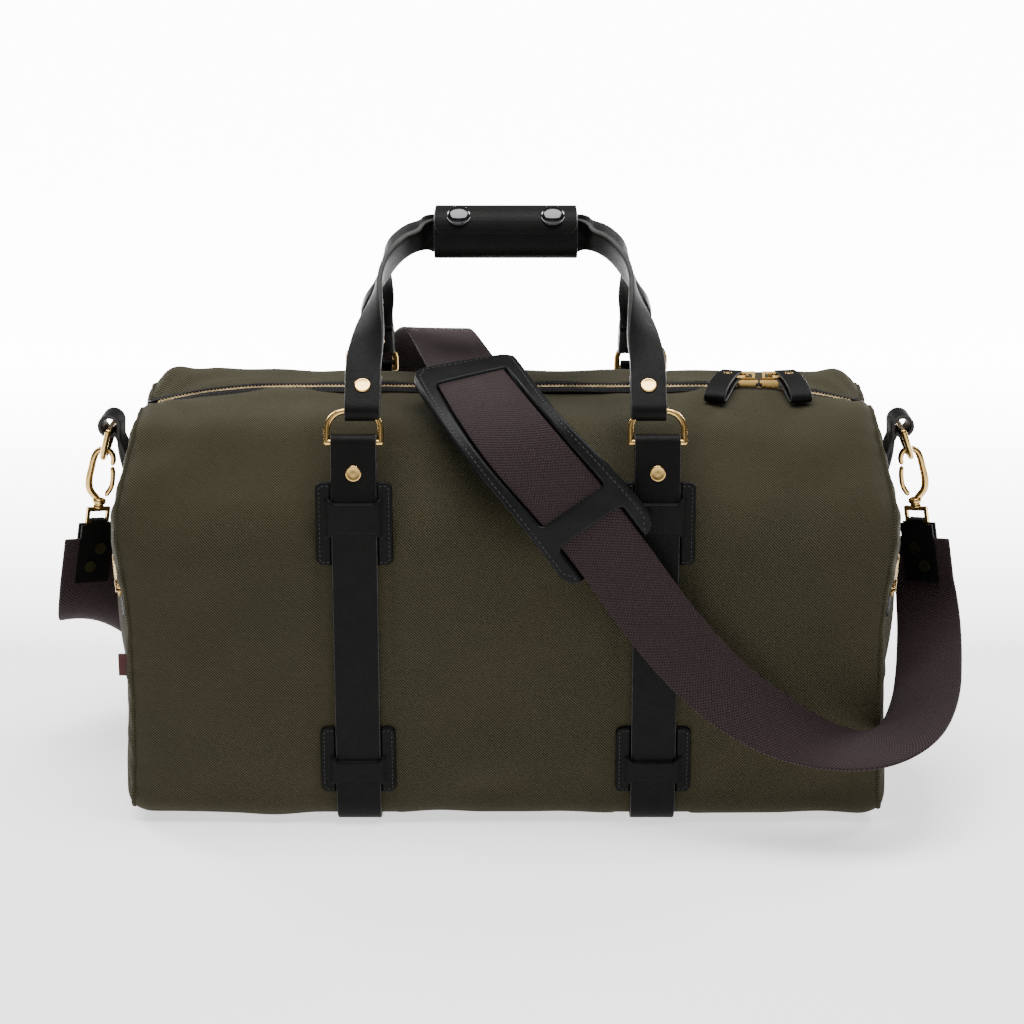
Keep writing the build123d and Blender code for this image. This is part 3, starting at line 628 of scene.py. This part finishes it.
def outline():
    corners = [(0, TOP_Z), (-14, TOP_Z), (-66, 283), (-127, 226), (-127, BASE_Z), (127, BASE_Z), (127, 226),
               (66, 283), (14, TOP_Z), (0, TOP_Z)]
    radii = [40, 60, 55, 14, 14, 55, 60, 40]
    points = rounded(corners, radii)
    points, at = resample(points, 1.0)
    keep = (at > 6.0) & (at < at[-1] - 6.0)
    return resample(points[keep], 3.6)


def canvas_shape(x, yz, normals, s):
    """Where the canvas really is, for a point of the plain loaf shape."""
    n = len(yz)
    p = np.zeros((len(x), n, 3))
    p[:, :, 0] = x[:, None]
    p[:, :, 1:] = yz[None]
    side = np.abs(x)[:, None] * np.ones((1, n))
    y, z = p[:, :, 1], p[:, :, 2]
    sheet = np.stack([p[:, :, 0], s[None] * np.ones((len(x), 1))], -1)
    away = smooth((np.abs(side - STRAP_X) - 17) / 22)
    rim = END_X - side
    face = smooth((z - 12) / 50) * smooth((250 - z) / 60)
    soft = 1.6 * waves(sheet, 120, 3) + 0.45 * waves(sheet, 45, 5)
    belly = 2.6 * face * away * (np.abs(y) > 100)
    pull = -1.2 * np.exp(-((side - STRAP_X) / 20) ** 2) * smooth((z - 180) / 60)
    low = 2.0 * waves(sheet, 70, 8) * np.exp(-((z - 22) / 26) ** 2)
    pucker = 0.8 * waves(sheet * np.array([0.35, 1.0]), 17, 11) * np.exp(-rim / 9)
    diagonal = sheet @ np.array([0.55, 0.83])
    fold = 3.8 * np.sin(diagonal / 13) * np.exp(-((side - 215) / 34) ** 2 - ((z - 190) / 70) ** 2) * (y < 0)
    fold += 2.0 * np.sin(diagonal / 9 + 1) * np.exp(-((side - 238) / 22) ** 2 - ((z - 246) / 30) ** 2)
    out = away * (soft + belly + low + 0.7 * fold) + pull + pucker
    out = np.where((np.abs(y) > 95) & (away < 0.5), np.minimum(out, -0.3), out)
    out -= 5.0 * np.clip((side - 252) / 16, 0, 1) ** 2.4
    move = normals[None] * out[:, :, None]
    p[:, :, 1] += move[:, :, 0]
    p[:, :, 2] += move[:, :, 1]
    swell = 8.0 * np.exp(-((z - SWELL_Z) / 42) ** 2) + 4.0 * np.exp(-(z / 45) ** 2)
    p[:, :, 0] += np.sign(p[:, :, 0]) * swell * np.clip((side - 180) / 88, 0, 1) ** 1.5 * smooth((286 - z) / 30)
    p[:, :, 2] += 9.5 * np.exp(-((y - 47) / 27) ** 2) * (z > 200) * smooth((266 - side) / 50)
    near = np.exp(-(y / 24) ** 2)
    p[:, :, 2] += (zip_height(p[:, :, 0]) - TOP_Z) * near * (z > 200)
    back = np.where(y > 0, 1.0, 0.1)
    p[:, :, 2] += 9.0 * back * np.exp(-((side - 251) / 15) ** 2 - ((np.abs(y) - 44) / 20) ** 2) * (z > 200)
    dx, dy = 266 - side, np.abs(y)
    spread = np.arctan2(dy, dx + 4)
    reach = np.hypot(dx, dy)
    p[:, :, 2] += 1.7 * np.sin(11 * spread) * np.exp(-reach / 42) * smooth((dy - 12) / 12) * (z > 200)
    p[:, :, 2] += 1.0 * waves(sheet, 60, 21) * smooth((z - 265) / 15) * smooth((dy - 14) / 20)
    p[:, :, 2] = np.maximum(p[:, :, 2], 1.2)
    return p


def normals_of(yz):
    along = unit(np.gradient(yz, axis=0))
    return np.stack([along[:, 1], -along[:, 0]], 1) * -1


def canvas_body():
    yz, s = outline()
    normals = normals_of(yz)
    if (normals[len(yz) // 4] @ (yz[len(yz) // 4] - np.array([0, 150]))) < 0:
        normals = -normals
    x = np.concatenate([np.linspace(-END_X + 1, -236, 15)[:-1], np.linspace(-236, 236, 170),
                        np.linspace(236, END_X - 1, 15)[1:]])
    p = canvas_shape(x, yz, normals, s)
    lay = np.stack([p[:, :, 0], s[None] * np.ones((len(x), 1)), np.zeros(p.shape[:2])], -1)
    n = len(yz)
    cuts = [0, int(np.argmin(np.abs(yz[:, 0] + 108) + np.abs(yz[:, 1] - BASE_Z))),
            int(np.argmin(np.abs(yz[:, 0] - 108) + np.abs(yz[:, 1] - BASE_Z))), n - 1]
    names = (("front_canvas", "front_panel", "canvas"), ("base_canvas", "base_panel", "base_canvas"),
             ("back_canvas", "back_panel", "canvas"))
    for (name, cad, slot), a, b in zip(names, cuts[:-1], cuts[1:]):
        part = p[:, a:b + 1]
        m = part.shape[1]
        faces = grid_faces(len(x), m, False, False)
        obj = mesh_object(name, part.reshape(-1, 3), faces, lay[:, a:b + 1].reshape(-1, 3))
        paint(obj, CANVAS)
        thick = obj.modifiers.new("thickness", "SOLIDIFY")
        thick.thickness = CLOTH_T * MM
        thick.offset = 1.0 if flipped(part) else -1.0
        done(obj, ROOT, slot, cad)
    return p


def flipped(part):
    """Whether the faces of this stretch of canvas look into the bag."""
    i, j = part.shape[0] // 2, part.shape[1] // 2
    a, b = part[i, j + 1] - part[i, j], part[i + 1, j] - part[i, j]
    return np.cross(a, b) @ (part[i, j] - np.array([0, 0, 150])) < 0


def dome_x(y, z):
    centre_x, centre_z, radius = DOME
    return centre_x + np.sqrt(np.clip(radius ** 2 - y ** 2 - (z - centre_z) ** 2, 1, None))


def pocket_reach(yz):
    """How far points are from the curved pocket zip; 1 is the edge of the ground it needs."""
    tilt = math.radians(POCKET_TILT)
    out = np.array([math.cos(tilt), 0, -math.sin(tilt)])
    ray = np.stack([dome_x(yz[:, 0], yz[:, 1]) - DOME[0], yz[:, 0], yz[:, 1] - DOME[1]], 1) / DOME[2]
    cone = np.arccos(np.clip(ray @ out, -1, 1))
    up = ray @ np.array([math.sin(tilt), 0, math.cos(tilt)])
    around = np.degrees(np.arctan2(up, ray[:, 1]))
    off = np.abs(cone - math.asin(POCKET_ARC_R / DOME[2])) * DOME[2]
    past = np.clip(np.abs(around - 90) - 60, 0, None) * 2.0
    return np.hypot(off, past) / 16.0


def end_panel(side, ring):
    """Bulging end, from the last ring of the canvas inwards."""
    sign = 1 if side == "right" else -1
    top = np.array([[ring[0, 0], y, (ring[0, 2] + ring[-1, 2]) / 2 - 0.3] for y in (3.0, 0.0, -3.0)])
    ring = np.vstack([ring, top])
    m = len(ring)
    centre = np.array([0.0, 145.0])
    shares = np.concatenate([np.linspace(1, 0.9, 9)[:-1], np.linspace(0.9, 0.03, 44)])
    rings = []
    around = np.arange(m)
    for r in shares:
        yz = centre + (ring[:, 1:] - centre) * r
        edge_x = np.abs(ring[:, 0])
        flat = edge_x + 4.5 * np.sqrt(np.clip(1 - ((r - 0.82) / 0.18) ** 2, 0, 1)) if r > 0.82 else edge_x + 4.5
        bulge = flat + 4.0 * (1 - r ** 4)
        ball = dome_x(yz[:, 0], yz[:, 1])
        blend = smooth((0.97 - r) / 0.12)
        x = bulge * (1 - blend) + np.maximum(np.logaddexp(bulge / 2.0, ball / 2.0) * 2.0, ball) * blend
        ripple = 1.0 * np.sin(around * 0.9) + 0.7 * np.sin(around * 0.37 + 1)
        x = x + ripple * math.exp(-((r - 0.95) / 0.05) ** 2) * 0.8
        x = np.where(pocket_reach(yz) < 1, np.minimum(x, ball - 0.4), x)
        x += (ball - 0.4 - x) * np.exp(-np.clip(pocket_reach(yz) - 1, 0, None) ** 2 * 6) * (x > ball - 0.4)
        rings.append(np.stack([sign * x, yz[:, 0], yz[:, 1]], 1))
    rings = np.array(rings)
    lay = rings[:, :, [1, 2, 0]]
    obj = mesh_object(f"end_canvas_{side}", rings.reshape(-1, 3), capped(len(rings), m, both=False),
                      lay.reshape(-1, 3))
    paint(obj, CANVAS)
    done(obj, ROOT, "canvas", f"end_panel_{side}")
    loop = rings[0]
    welt, _ = ribbon(f"end_seam_{side}", loop, unit(np.stack([np.zeros(m), loop[:, 1], loop[:, 2] - 145], 1)),
                     3.4, 3.0, 1.45, closed=True)
    paint(welt, CANVAS)
    done(welt, ROOT, "canvas")


canvas_points = canvas_body()
end_panel("left", canvas_points[0])
end_panel("right", canvas_points[-1])


# ---- main zip -------------------------------------------------------------------------
def zip_line(y, lift, step=4.0, reach=END_X - 1):
    x = np.linspace(-reach, reach, int(2 * reach / step))
    wobble = 0.35 * np.sin(x / 19) + 0.25 * np.sin(x / 7.3 + 1)
    return np.stack([x, np.full(len(x), y) + wobble * 0.6, zip_height(x) + lift + wobble * 0.5], 1)


def tooth(verts, faces, centre, u, v, w, size):
    """A small block with chamfered top, its axes along u, v and w."""
    base = len(verts)
    a, b, c = size
    for top, k in ((-0.5, 1.0), (0.25, 1.0), (0.5, 0.6)):
        for su, sv in ((-1, -1), (1, -1), (1, 1), (-1, 1)):
            verts.append(centre + u * a / 2 * su * k + v * b / 2 * sv * (0.5 + k / 2) + w * c * top)
    faces += capped(3, 4, base)


def main_zip():
    for face, sign in (("front", -1), ("back", 1)):
        line = zip_line(sign * (10.6 if sign < 0 else 9.8), 0.7)
        leather, _ = ribbon(f"zip_leather_{face}", line, Y - 0.10 * sign * Z, 10.4 if sign < 0 else 8.8, 2.2, 0.9)
        paint(leather, PEBBLED)
        sewn_line = zip_line(sign * 13.2, 1.95, reach=END_X - 5)
        sewn = stitches(f"zip_stitches_{face}", [(sewn_line, np.tile(Z, (len(sewn_line), 1)))], 3.6, 2.3, 0.35)
        done(join(f"zip_leather_{face}", [leather, sewn]), ROOT, "leather", f"zip_facing_{face}")
        tape, _ = ribbon(f"zip_cloth_{face}", zip_line(sign * 6.2, -2.6), Y, 12.0, 0.9, 0.3)
        paint(tape, TAPE)
        done(tape, ROOT, "zip_tape", f"zip_tape_{face}")
        verts, faces = [], []
        count = int(2 * (END_X - 10) / TOOTH_PITCH)
        for i in range(count):
            x = -END_X + 10 + TOOTH_PITCH * (i + (0.5 if sign > 0 else 0))
            slope = (zip_height(x + 1) - zip_height(x - 1)) / 2
            u = unit(np.array([1, 0, slope]))
            centre = np.array([x, sign * 1.5, zip_height(x) + 0.6])
            tooth(verts, faces, centre, u, np.array([0, 1.0, 0]), unit(np.cross(u, [0, 1.0, 0])), (1.35, 4.4, 2.6))
        row = mesh_object(f"zip_row_{face}", verts, faces, smooth=False)
        paint(row, TEETH)
        done(row, ROOT, "brass", f"zip_teeth_{face}")


main_zip()


# ---- end pockets ----------------------------------------------------------------------
def pocket_point(around, off, radius, side):
    """A point on the end dome, given along and across the curved pocket zip."""
    tilt = math.radians(POCKET_TILT)
    right, up, out = np.array([0, 1.0, 0]), np.array([math.sin(tilt), 0, math.cos(tilt)]), \
        np.array([math.cos(tilt), 0, -math.sin(tilt)])
    cone = math.asin(POCKET_ARC_R / DOME[2]) + off / DOME[2]
    a = math.radians(around)
    ray = right * math.sin(cone) * math.cos(a) + up * math.sin(cone) * math.sin(a) + out * math.cos(cone)
    point = np.array([DOME[0], 0, DOME[1]]) + ray * radius
    if side == "left":
        point[0], ray[0] = -point[0], -ray[0]
    return point, ray


def pocket_zip(side):
    angles = np.linspace(30, 150, 60)
    parts = []
    for low, high in ((3.6, 11.5), (-11.5, -3.6)):
        mid = (low + high) / 2
        rows = [pocket_point(a, mid, DOME[2] + 1.0, side) for a in angles]
        line = np.array([r[0] for r in rows])
        rays = np.array([r[1] for r in rows])
        across = np.cross(rays, unit(np.gradient(line, axis=0)))
        leather, _ = ribbon("pocket_leather", line, across, high - low, 1.9, 0.7)
        paint(leather, PEBBLED)
        parts.append(leather)
        sewn = stitches("pocket_stitches", [(line + rays * 1.0 + unit(across) * (1.8 if low > 0 else -1.8), rays)],
                        3.6, 2.2, 0.3)
        parts.append(sewn)
    done(join(f"pocket_leather_{side}", parts), ROOT, "leather", f"pocket_facing_{side}")
    rows = [pocket_point(a, 0, DOME[2] - 0.9, side) for a in angles]
    line = np.array([r[0] for r in rows])
    across = np.cross(np.array([r[1] for r in rows]), unit(np.gradient(line, axis=0)))
    tape, _ = ribbon(f"pocket_tape_{side}", line, across, 9.0, 1.2, 0.4)
    paint(tape, TAPE)
    verts, faces = [], []
    count = int(math.radians(110) * POCKET_ARC_R / POCKET_PITCH)
    for i in range(count):
        a = 35 + 110 * i / count
        off = 0.9 if i % 2 else -0.9
        here, ray = pocket_point(a, off, DOME[2] + 0.4, side)
        on, _ = pocket_point(a + 0.5, off, DOME[2] + 0.4, side)
        u = unit(on - here)
        tooth(verts, faces, here, u, np.cross(ray, u), ray, (1.2, 3.4, 2.0))
    row = mesh_object(f"pocket_teeth_{side}", verts, faces, smooth=False)
    paint(row, TEETH)
    done(join(f"pocket_chain_{side}", [tape, row]), ROOT, "brass", f"pocket_zip_{side}")


pocket_zip("left")
pocket_zip("right")


# ---- body straps, keepers, rivets -----------------------------------------------------
def strap_bend():
    """Ring bar, knee, way up the leaning strap and way out of it, in the YZ plane."""
    bar = np.array([-RING_C[0], RING_C[1]])
    knee = np.array([-HALF_DEPTH - 0.25 - STRAP_T / 2, 236.0])
    fold_r = WIRE_R + 0.35 + STRAP_T / 2
    reach = bar - knee
    tilt = math.atan2(reach[0], reach[1]) - math.asin(fold_r / np.linalg.norm(reach))
    up = np.array([math.sin(tilt), math.cos(tilt)])
    return bar, knee, up, np.array([-up[1], up[0]]), fold_r


def disc(centre, axis, radius, height, material, name="rivet", rimmed=True):
    """A round, slightly domed head standing on a surface."""
    axis = unit(axis)
    side = unit(np.cross(axis, [0.3, 0.9, 0.2]))
    other = np.cross(axis, side)
    rows = [(1.0, 0.0), (1.0, 0.5), (0.97, 0.8), (0.9, 0.97), (0.8, 0.93), (0.72, 0.86), (0.3, 0.92), (0.02, 0.93)] \
        if rimmed else [(1.0, 0.0), (0.99, 0.3), (0.93, 0.55), (0.8, 0.78), (0.55, 0.93), (0.25, 1.0), (0.02, 1.0)]
    verts = []
    for r, h in rows:
        for a in turns(32):
            verts.append(centre + (side * math.cos(a) + other * math.sin(a)) * r * radius + axis * h * height)
    obj = mesh_object(name, verts, capped(len(rows), 32, both=False))
    return paint(obj, material)


def keeper(x, face, low, high, bridge_low, bridge_high):
    """A stitched patch moulded up over the strap in its middle, with the strap let in above and below."""
    sign = -1 if face == "front" else 1
    middle, bridge = (low + high) / 2, (bridge_low + bridge_high) / 2

    def place(u, v, h):
        return np.stack([x + u, sign * (HALF_DEPTH + h), middle + v], -1)

    def height(u, v):
        side = np.abs(u)
        reach = (bridge_high - bridge_low) / 2 + 2.5 * smooth((side - 13) / 5)
        over = smooth((reach - np.abs(v - bridge + middle)) / 1.6)
        hill = 2.4 + 4.2 * smooth((22.0 - side) / 6.0)
        let_in = smooth((STRAP_W / 2 + 1.4 - side) / 1.2) * (1 - over)
        return (2.5 + (hill - 2.5) * over) * (1 - let_in) + 0.1 * let_in

    patch = moulded("keeper", place, 27.0, (high - low) / 2, 5.0, height, 0.05, 0.75)
    if sign > 0:
        patch.data.flip_normals()
    paint(patch, LEATHER)
    out = np.array([0, float(sign), 0])
    y = sign * (HALF_DEPTH + 2.55)
    rows = []
    for side in (-1, 1):
        edge, near = x + side * 24.3, x + side * 18.6
        corner = [(near, low + 2.8), (edge, low + 2.8), (edge, high - 2.8), (near, high - 2.8)]
        line = rounded(corner, [2.5, 2.5])
        rows.append((np.stack([line[:, 0], np.full(len(line), y), line[:, 1]], 1), np.tile(out, (len(line), 1))))
    return [patch, stitches("keeper_stitches", rows, 3.2, 2.1, 0.34)]


def body_straps():
    bar, knee, up, out, fold_r = strap_bend()
    tail = bar - out * fold_r - up * 30
    top_in = bar - out * fold_r + up * fold_r
    top_out = bar + out * fold_r + up * fold_r
    foot = np.array([knee[0], STRAP_T / 2])
    front = [tail, top_in, top_out, knee, foot]
    points = front + [np.array([-p[0], p[1]]) for p in reversed(front)]
    base_r = 14.25 + STRAP_T / 2
    tight = fold_r - 0.05
    line = rounded(points, [tight, tight, 40, base_r, base_r, 40, tight, tight])
    line, _ = resample(line, 2.0)
    for side, x in (("left", -STRAP_X), ("right", STRAP_X)):
        path = np.stack([np.full(len(line), x), line[:, 0], line[:, 1]], 1)
        strap = leather_strap(f"strap_{side}", path, X, STRAP_W, STRAP_T, 1.0)
        done(strap, ROOT, "leather", f"body_strap_{side}")
    heads = []
    at = bar - up * 21
    for x in (-STRAP_X, STRAP_X):
        for sign in (1, -1):
            axis = np.array([0, sign * out[0], out[1]])
            centre = np.array([x, sign * at[0], at[1]]) + axis * (fold_r + STRAP_T / 2 - 0.1)
            heads.append(disc(centre, axis, *RIVET, BRASS))
    for face in ("front", "back"):
        parts = []
        for x in (-STRAP_X, STRAP_X):
            for heights in KEEPERS:
                parts += keeper(x, face, *heights)
        done(join(f"keepers_{face}", parts), ROOT, "leather", f"strap_keepers_{face}")
    return heads


rivet_heads = body_straps()


# ---- handles and grip -----------------------------------------------------------------
HANDLE_SHAPE = [(0.25, 100.0, 0), (0.38, 98.0, 18), (0.5, 96.5, 42), (0.62, 94.0, 66), (0.72, 91.0, 82),
                (0.81, 86.0, 90), (0.885, 79.5, 90), (0.94, 72.0, 90), (0.975, 63.0, 90)]


def handle(face, heads):
    lean = math.radians(RING_LEAN)
    bow = np.array([0, -RING_C[0] + RING_DROP * math.sin(lean), RING_C[1] + RING_DROP * math.cos(lean)])
    fold_r = WIRE_R + 0.6 + HANDLE_T / 2
    reach = np.array([0, -GRIP_Y, GRIP_Z]) - bow
    tilt = math.atan2(reach[1], reach[2]) + math.asin(fold_r / np.linalg.norm(reach))
    up = np.array([0, math.sin(tilt), math.cos(tilt)])
    out = np.array([0, -up[2], up[1]])
    start = bow + out * fold_r
    rise = np.array([0, -GRIP_Y, GRIP_Z]) - start
    fold = rounded([(-fold_r, 32.0), (-fold_r, -fold_r), (fold_r, -fold_r), (fold_r, 14.0)], [fold_r - 0.1] * 2)
    rows = [(bow + out * a + up * b + np.array([-HANDLE_X, 0, 0]), 0.0) for a, b in fold]
    for share, x, twist in HANDLE_SHAPE:
        rows.append((start + rise * share + np.array([-x, 0, 0]), twist))
    rows.append((np.array([-56, -GRIP_Y, GRIP_Z]), 112.0))
    rows.append((np.array([-46, -GRIP_Y, GRIP_Z]), 128.0))
    rows.append((np.array([0, -GRIP_Y, GRIP_Z]), 130.0))
    table = np.array([[*p, t] for p, t in rows])
    fold_count = len(fold)
    dense = np.vstack([table[:fold_count - 1], spline(table[fold_count - 1:], 8)])
    both = np.vstack([dense, (dense * np.array([-1, 1, 1, 1]))[::-1][1:]])
    both, _ = resample(both, 2.5)
    line, twist = both[:, :3], np.radians(both[:, 3])
    along = unit(np.gradient(line, axis=0))
    inward = np.cross(along, out[None])
    toward = np.array([0, 0, 300.0]) - line
    low = line[:, 2] < bow[2] + 45
    inward[low] = X * np.sign(-line[low, :1])
    inward[~low] *= np.sign((inward[~low] * toward[~low]).sum(1))[:, None]
    across = unit(inward) * np.cos(twist)[:, None] + out[None] * np.sin(twist)[:, None]
    for i in range(1, len(across)):
        if across[i] @ across[i - 1] < 0:
            across[i:] *= -1
    strap = leather_strap(f"handle_strap_{face}", line, across, HANDLE_W, HANDLE_T, 1.3)
    if face == "back":
        strap.data.transform(Matrix.Diagonal((1, -1, 1, 1)))
        strap.data.flip_normals()
    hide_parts(f"handle_{face}")
    at = bow + up * 17
    sign = -1 if face == "back" else 1
    for x in (-HANDLE_X, HANDLE_X):
        for way in (1, -1):
            axis = out * way
            centre = at + np.array([x, 0, 0]) + axis * (fold_r + HANDLE_T / 2 - 0.1)
            flip = np.array([1, sign, 1])
            heads.append(disc(centre * flip, axis * flip, *RIVET, BRASS))
    return strap


handles = [handle("front", rivet_heads), handle("back", rivet_heads)]
done(join("rivet_heads", rivet_heads), ROOT, "brass", "strap_rivets")


def grip():
    (deep, tall), wall, bend = GRIP_HALF, GRIP_WALL, GRIP_ROUND
    inset = wall / 2
    corners = [(-deep + inset, GRIP_Z - tall + inset), (deep - inset, GRIP_Z - tall + inset),
               (deep - inset, GRIP_Z + tall - inset), (-deep + inset, GRIP_Z + tall - inset)]
    line = rounded(corners, [bend - inset] * 4, closed=True)
    line, _ = resample(line, 1.6)
    line = line[:-1]
    path = np.stack([np.zeros(len(line)), line[:, 0], line[:, 1]], 1)
    wrap = leather_strap("grip_leather", path, X, GRIP_LONG, wall, 0.9, closed=True, flat=24)
    done(wrap, "grip", "leather", "grip_wrap")
    o = SNAP_GAP + wall / 2
    corners = [(deep - bend, GRIP_Z + tall + o), (-deep - o, GRIP_Z + tall + o), (-deep - o, GRIP_Z + 3.0)]
    line = rounded(corners, [bend + o])
    line, at = resample(line, 0.8)
    left = at[-1] - at
    round_r = 8.0
    cut = np.where(left < round_r, round_r - np.sqrt(np.clip(round_r ** 2 - (round_r - left) ** 2, 0, None)), 0)
    widths = GRIP_LONG - 1 - 1.8 * cut
    path = np.stack([np.zeros(len(line)), line[:, 0] - 0.5 * smooth((8 - left) / 8), line[:, 1]], 1)
    flap = leather_strap("flap_leather", path, X, GRIP_LONG - 1, wall, 0.9, widths=widths, flat=24)
    done(flap, "flap", "leather", "grip_flap")
    caps = []
    lean = math.radians(SNAP_TILT)
    axis = np.array([0, -math.sin(lean), math.cos(lean)])
    for x in (-SNAP_X, SNAP_X):
        seat = np.array([x, bend - deep, GRIP_Z + tall - bend]) + axis * (bend + SNAP_GAP + wall - 0.5)
        caps.append(disc(seat, axis, 8.4, 3.0, SNAP, "cap", False))
        caps.append(disc(seat - axis * 0.6, axis, 9.4, 1.0, SNAP, "cap"))
    done(join("snap_domes", caps), "flap", "snap_metal", "snap_caps")


grip()
for strap in handles:
    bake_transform(strap)

# ---- zip pulls, end tabs and hooks -----------------------------------------------------
def zip_pulls():
    loop = [(0, 2.3), (14, 2.6), (30, 0.4), (41, -3.4), (45, -7.4), (41.5, -10.2), (33, -8.2), (20, -4.2),
            (6, -2.3), (-3, -2.2), (-5.4, 0), (-3, 2.2)]
    for side, x, way, turned in SLIDERS:
        yaw = math.radians(turned)
        ahead = np.array([way * math.sin(yaw), -math.cos(yaw), 0])
        aside = np.array([math.cos(yaw), way * math.sin(yaw), 0])
        start = np.array([x + way * PULL_START[0], *PULL_START[1:]])
        line = spline(loop + loop[:1], 5)[:-1]
        path = start + ahead * line[:, :1] + Z * line[:, 1:2]
        leather = leather_strap(f"pull_leather_{side}", path, aside, 16, 2.1, 0.8, closed=True)
        head = disc(start + ahead * 9.0 + Z * 3.3, Z, 3.3, 0.9, BRASS)
        done(join(f"pull_leather_{side}", [leather, head]), f"pull_{side}", "leather", f"zip_pull_{side}")


def end_tabs():
    turn = np.radians(np.linspace(180, -128, 26))
    line = [(283.0, 232.0), (286.2, 246.0), (287.2, 258.0)]
    x, z, radius = END_LOOP
    line += [(x + radius * math.cos(a), z + radius * math.sin(a)) for a in turn]
    line += [(284.5, 250.0), (281.0, 236.0)]
    line, _ = resample(spline(line, 4), 1.5)
    for side, sign in (("left", -1), ("right", 1)):
        path = np.stack([sign * line[:, 0], np.zeros(len(line)), line[:, 1]], 1)
        leather = leather_strap(f"end_loop_{side}", path, Y, 28, 2.8, 1.0)
        done(leather, ROOT, "leather", f"end_tab_{side}")


def snap_hooks():
    hang = math.radians(HOOK_HANG)
    for side, sign, origin in HOOKS:
        away = np.array([sign * math.cos(hang), 0, math.sin(hang)])
        up = np.array([-sign * math.sin(hang), 0, math.cos(hang)])
        base = np.array([sign * origin[0], 0, origin[1]])

        def points(rows):
            return np.array([base + away * a + up * b for a, b, _ in rows])

        body = spline([(-6.4, -6.0, 1.9), (-7.0, -1.0, 2.1), (-4.8, 3.8, 2.2), (0, 5.4, 2.3), (4.8, 3.8, 2.3),
                       (7.4, -1.5, 2.5), (8.7, -11, 2.6), (9.4, -20, 2.8), (8.0, -27, 2.8), (4.0, -31.6, 2.6),
                       (0.5, -33.5, 2.4)], 6)
        hook = tube("hook", points(body), body[:, 2])
        barrel = [(0, -32.5, 3.4), (0, -33.6, 5.0), (0, -36.4, 5.0), (0, -37.2, 3.6), (0, -38.4, 3.6), (0, -39.6, 4.6),
                  (0, -41.2, 4.4)]
        foot = tube("barrel", points(barrel), [r for _, _, r in barrel], 24)
        for part in (hook, foot):
            paint(part, BRASS)
        done(join(f"snap_hook_{side}", [hook, foot]), f"hook_{side}", "brass", f"hook_body_{side}")
        gate = spline([(-6.8, -7.2, 1.9), (-8.0, -14, 1.9), (-7.6, -23, 2.0), (-4.2, -30.4, 2.0)], 6)
        bar = paint(tube(f"snap_gate_{side}", points(gate), gate[:, 2]), BRASS)
        done(bar, f"gate_{side}", "brass", f"hook_gate_{side}")


zip_pulls()
end_tabs()
snap_hooks()

# ---- CAD pieces that keep their shape --------------------------------------------------
FINISH = {
    "handle_ring": (BRASS, 0), "end_ring": (BRASS, 0), "hook_body": (BRASS, 0.3), "hook_gate": (BRASS, 0.2),
    "hook_eye": (BRASS, 0.5), "zip_slider": (BRASS, 0.35), "pull_link": (BRASS, 0.3), "pocket_slider": (BRASS, 0.3),
    "pocket_pull": (BRASS, 0.25), "zip_pull": (LEATHER, 0.8), "end_tab": (LEATHER, 0.6), "strap_tab": (LEATHER, 0.5),
    "strap_adjuster": (BRASS, 0.6), "snap_studs": (SNAP, 0), "pocket_lining": (LINING, 0), "base_board": (LINING, 0.5),
    "side_label": (TAG, 0.3), "strap_tab_rivets": (DARK_BRASS, 0.25),
}
for name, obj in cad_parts.items():
    for start, (material, width) in FINISH.items():
        if name.startswith(start) and not (start == "strap_tab" and name == "strap_tab_rivets"):
            obj.data.materials.clear()
            obj.data.materials.append(material)
            if width:
                bevel = obj.modifiers.new("soft_edges", "BEVEL")
                bevel.width = width * MM
                bevel.segments = 2
                bevel.limit_method = "ANGLE"
                bevel.angle_limit = math.radians(40)
                bevel.harden_normals = False

# ---- floor, light ---------------------------------------------------------------------
FLOOR = 12000
floor = mesh_object("floor", [(-FLOOR, -FLOOR, 0), (FLOOR, -FLOOR, 0), (FLOOR, FLOOR, 0), (-FLOOR, FLOOR, 0)],
                    [(0, 1, 2, 3)], smooth=False)
studio = Recipe("studio_white")
depth = studio.add("SeparateXYZ", {0: studio.place()})["Y"]
glow = studio.ramp(depth, 0.25, 1.4, 1.15, 13.0)
paint(floor, studio.finish({"Base Color": (0.88, 0.88, 0.88, 1), "Roughness": 0.9,
                            "Emission Color": (1, 1, 1, 1), "Emission Strength": glow}))


def area(name, at, look, size, power):
    light = bpy.data.lights.new(name, "AREA")
    light.shape = "RECTANGLE"
    light.size, light.size_y = size
    light.energy = power
    obj = bpy.data.objects.new(name, light)
    bpy.context.scene.collection.objects.link(obj)
    obj.location = at
    obj.rotation_euler = (Vector(look) - Vector(at)).to_track_quat("-Z", "Y").to_euler()
    return obj


area("top", (0.0, -0.1, 1.9), (0, 0, 0.1), (1.6, 1.0), 62)
area("front", (-0.2, -2.2, 1.3), (0, 0, 0.15), (1.6, 1.2), 3)
area("back_left", (-1.6, 1.3, 1.5), (0, 0, 0.1), (0.7, 0.9), 42)
area("back_right", (1.6, 1.3, 1.5), (0, 0, 0.1), (0.7, 0.9), 42)
world = bpy.data.worlds.new("world")
world.use_nodes = True
world.node_tree.nodes["Background"].inputs["Color"].default_value = (1, 1, 1, 1)
world.node_tree.nodes["Background"].inputs["Strength"].default_value = 0.15
bpy.context.scene.world = world
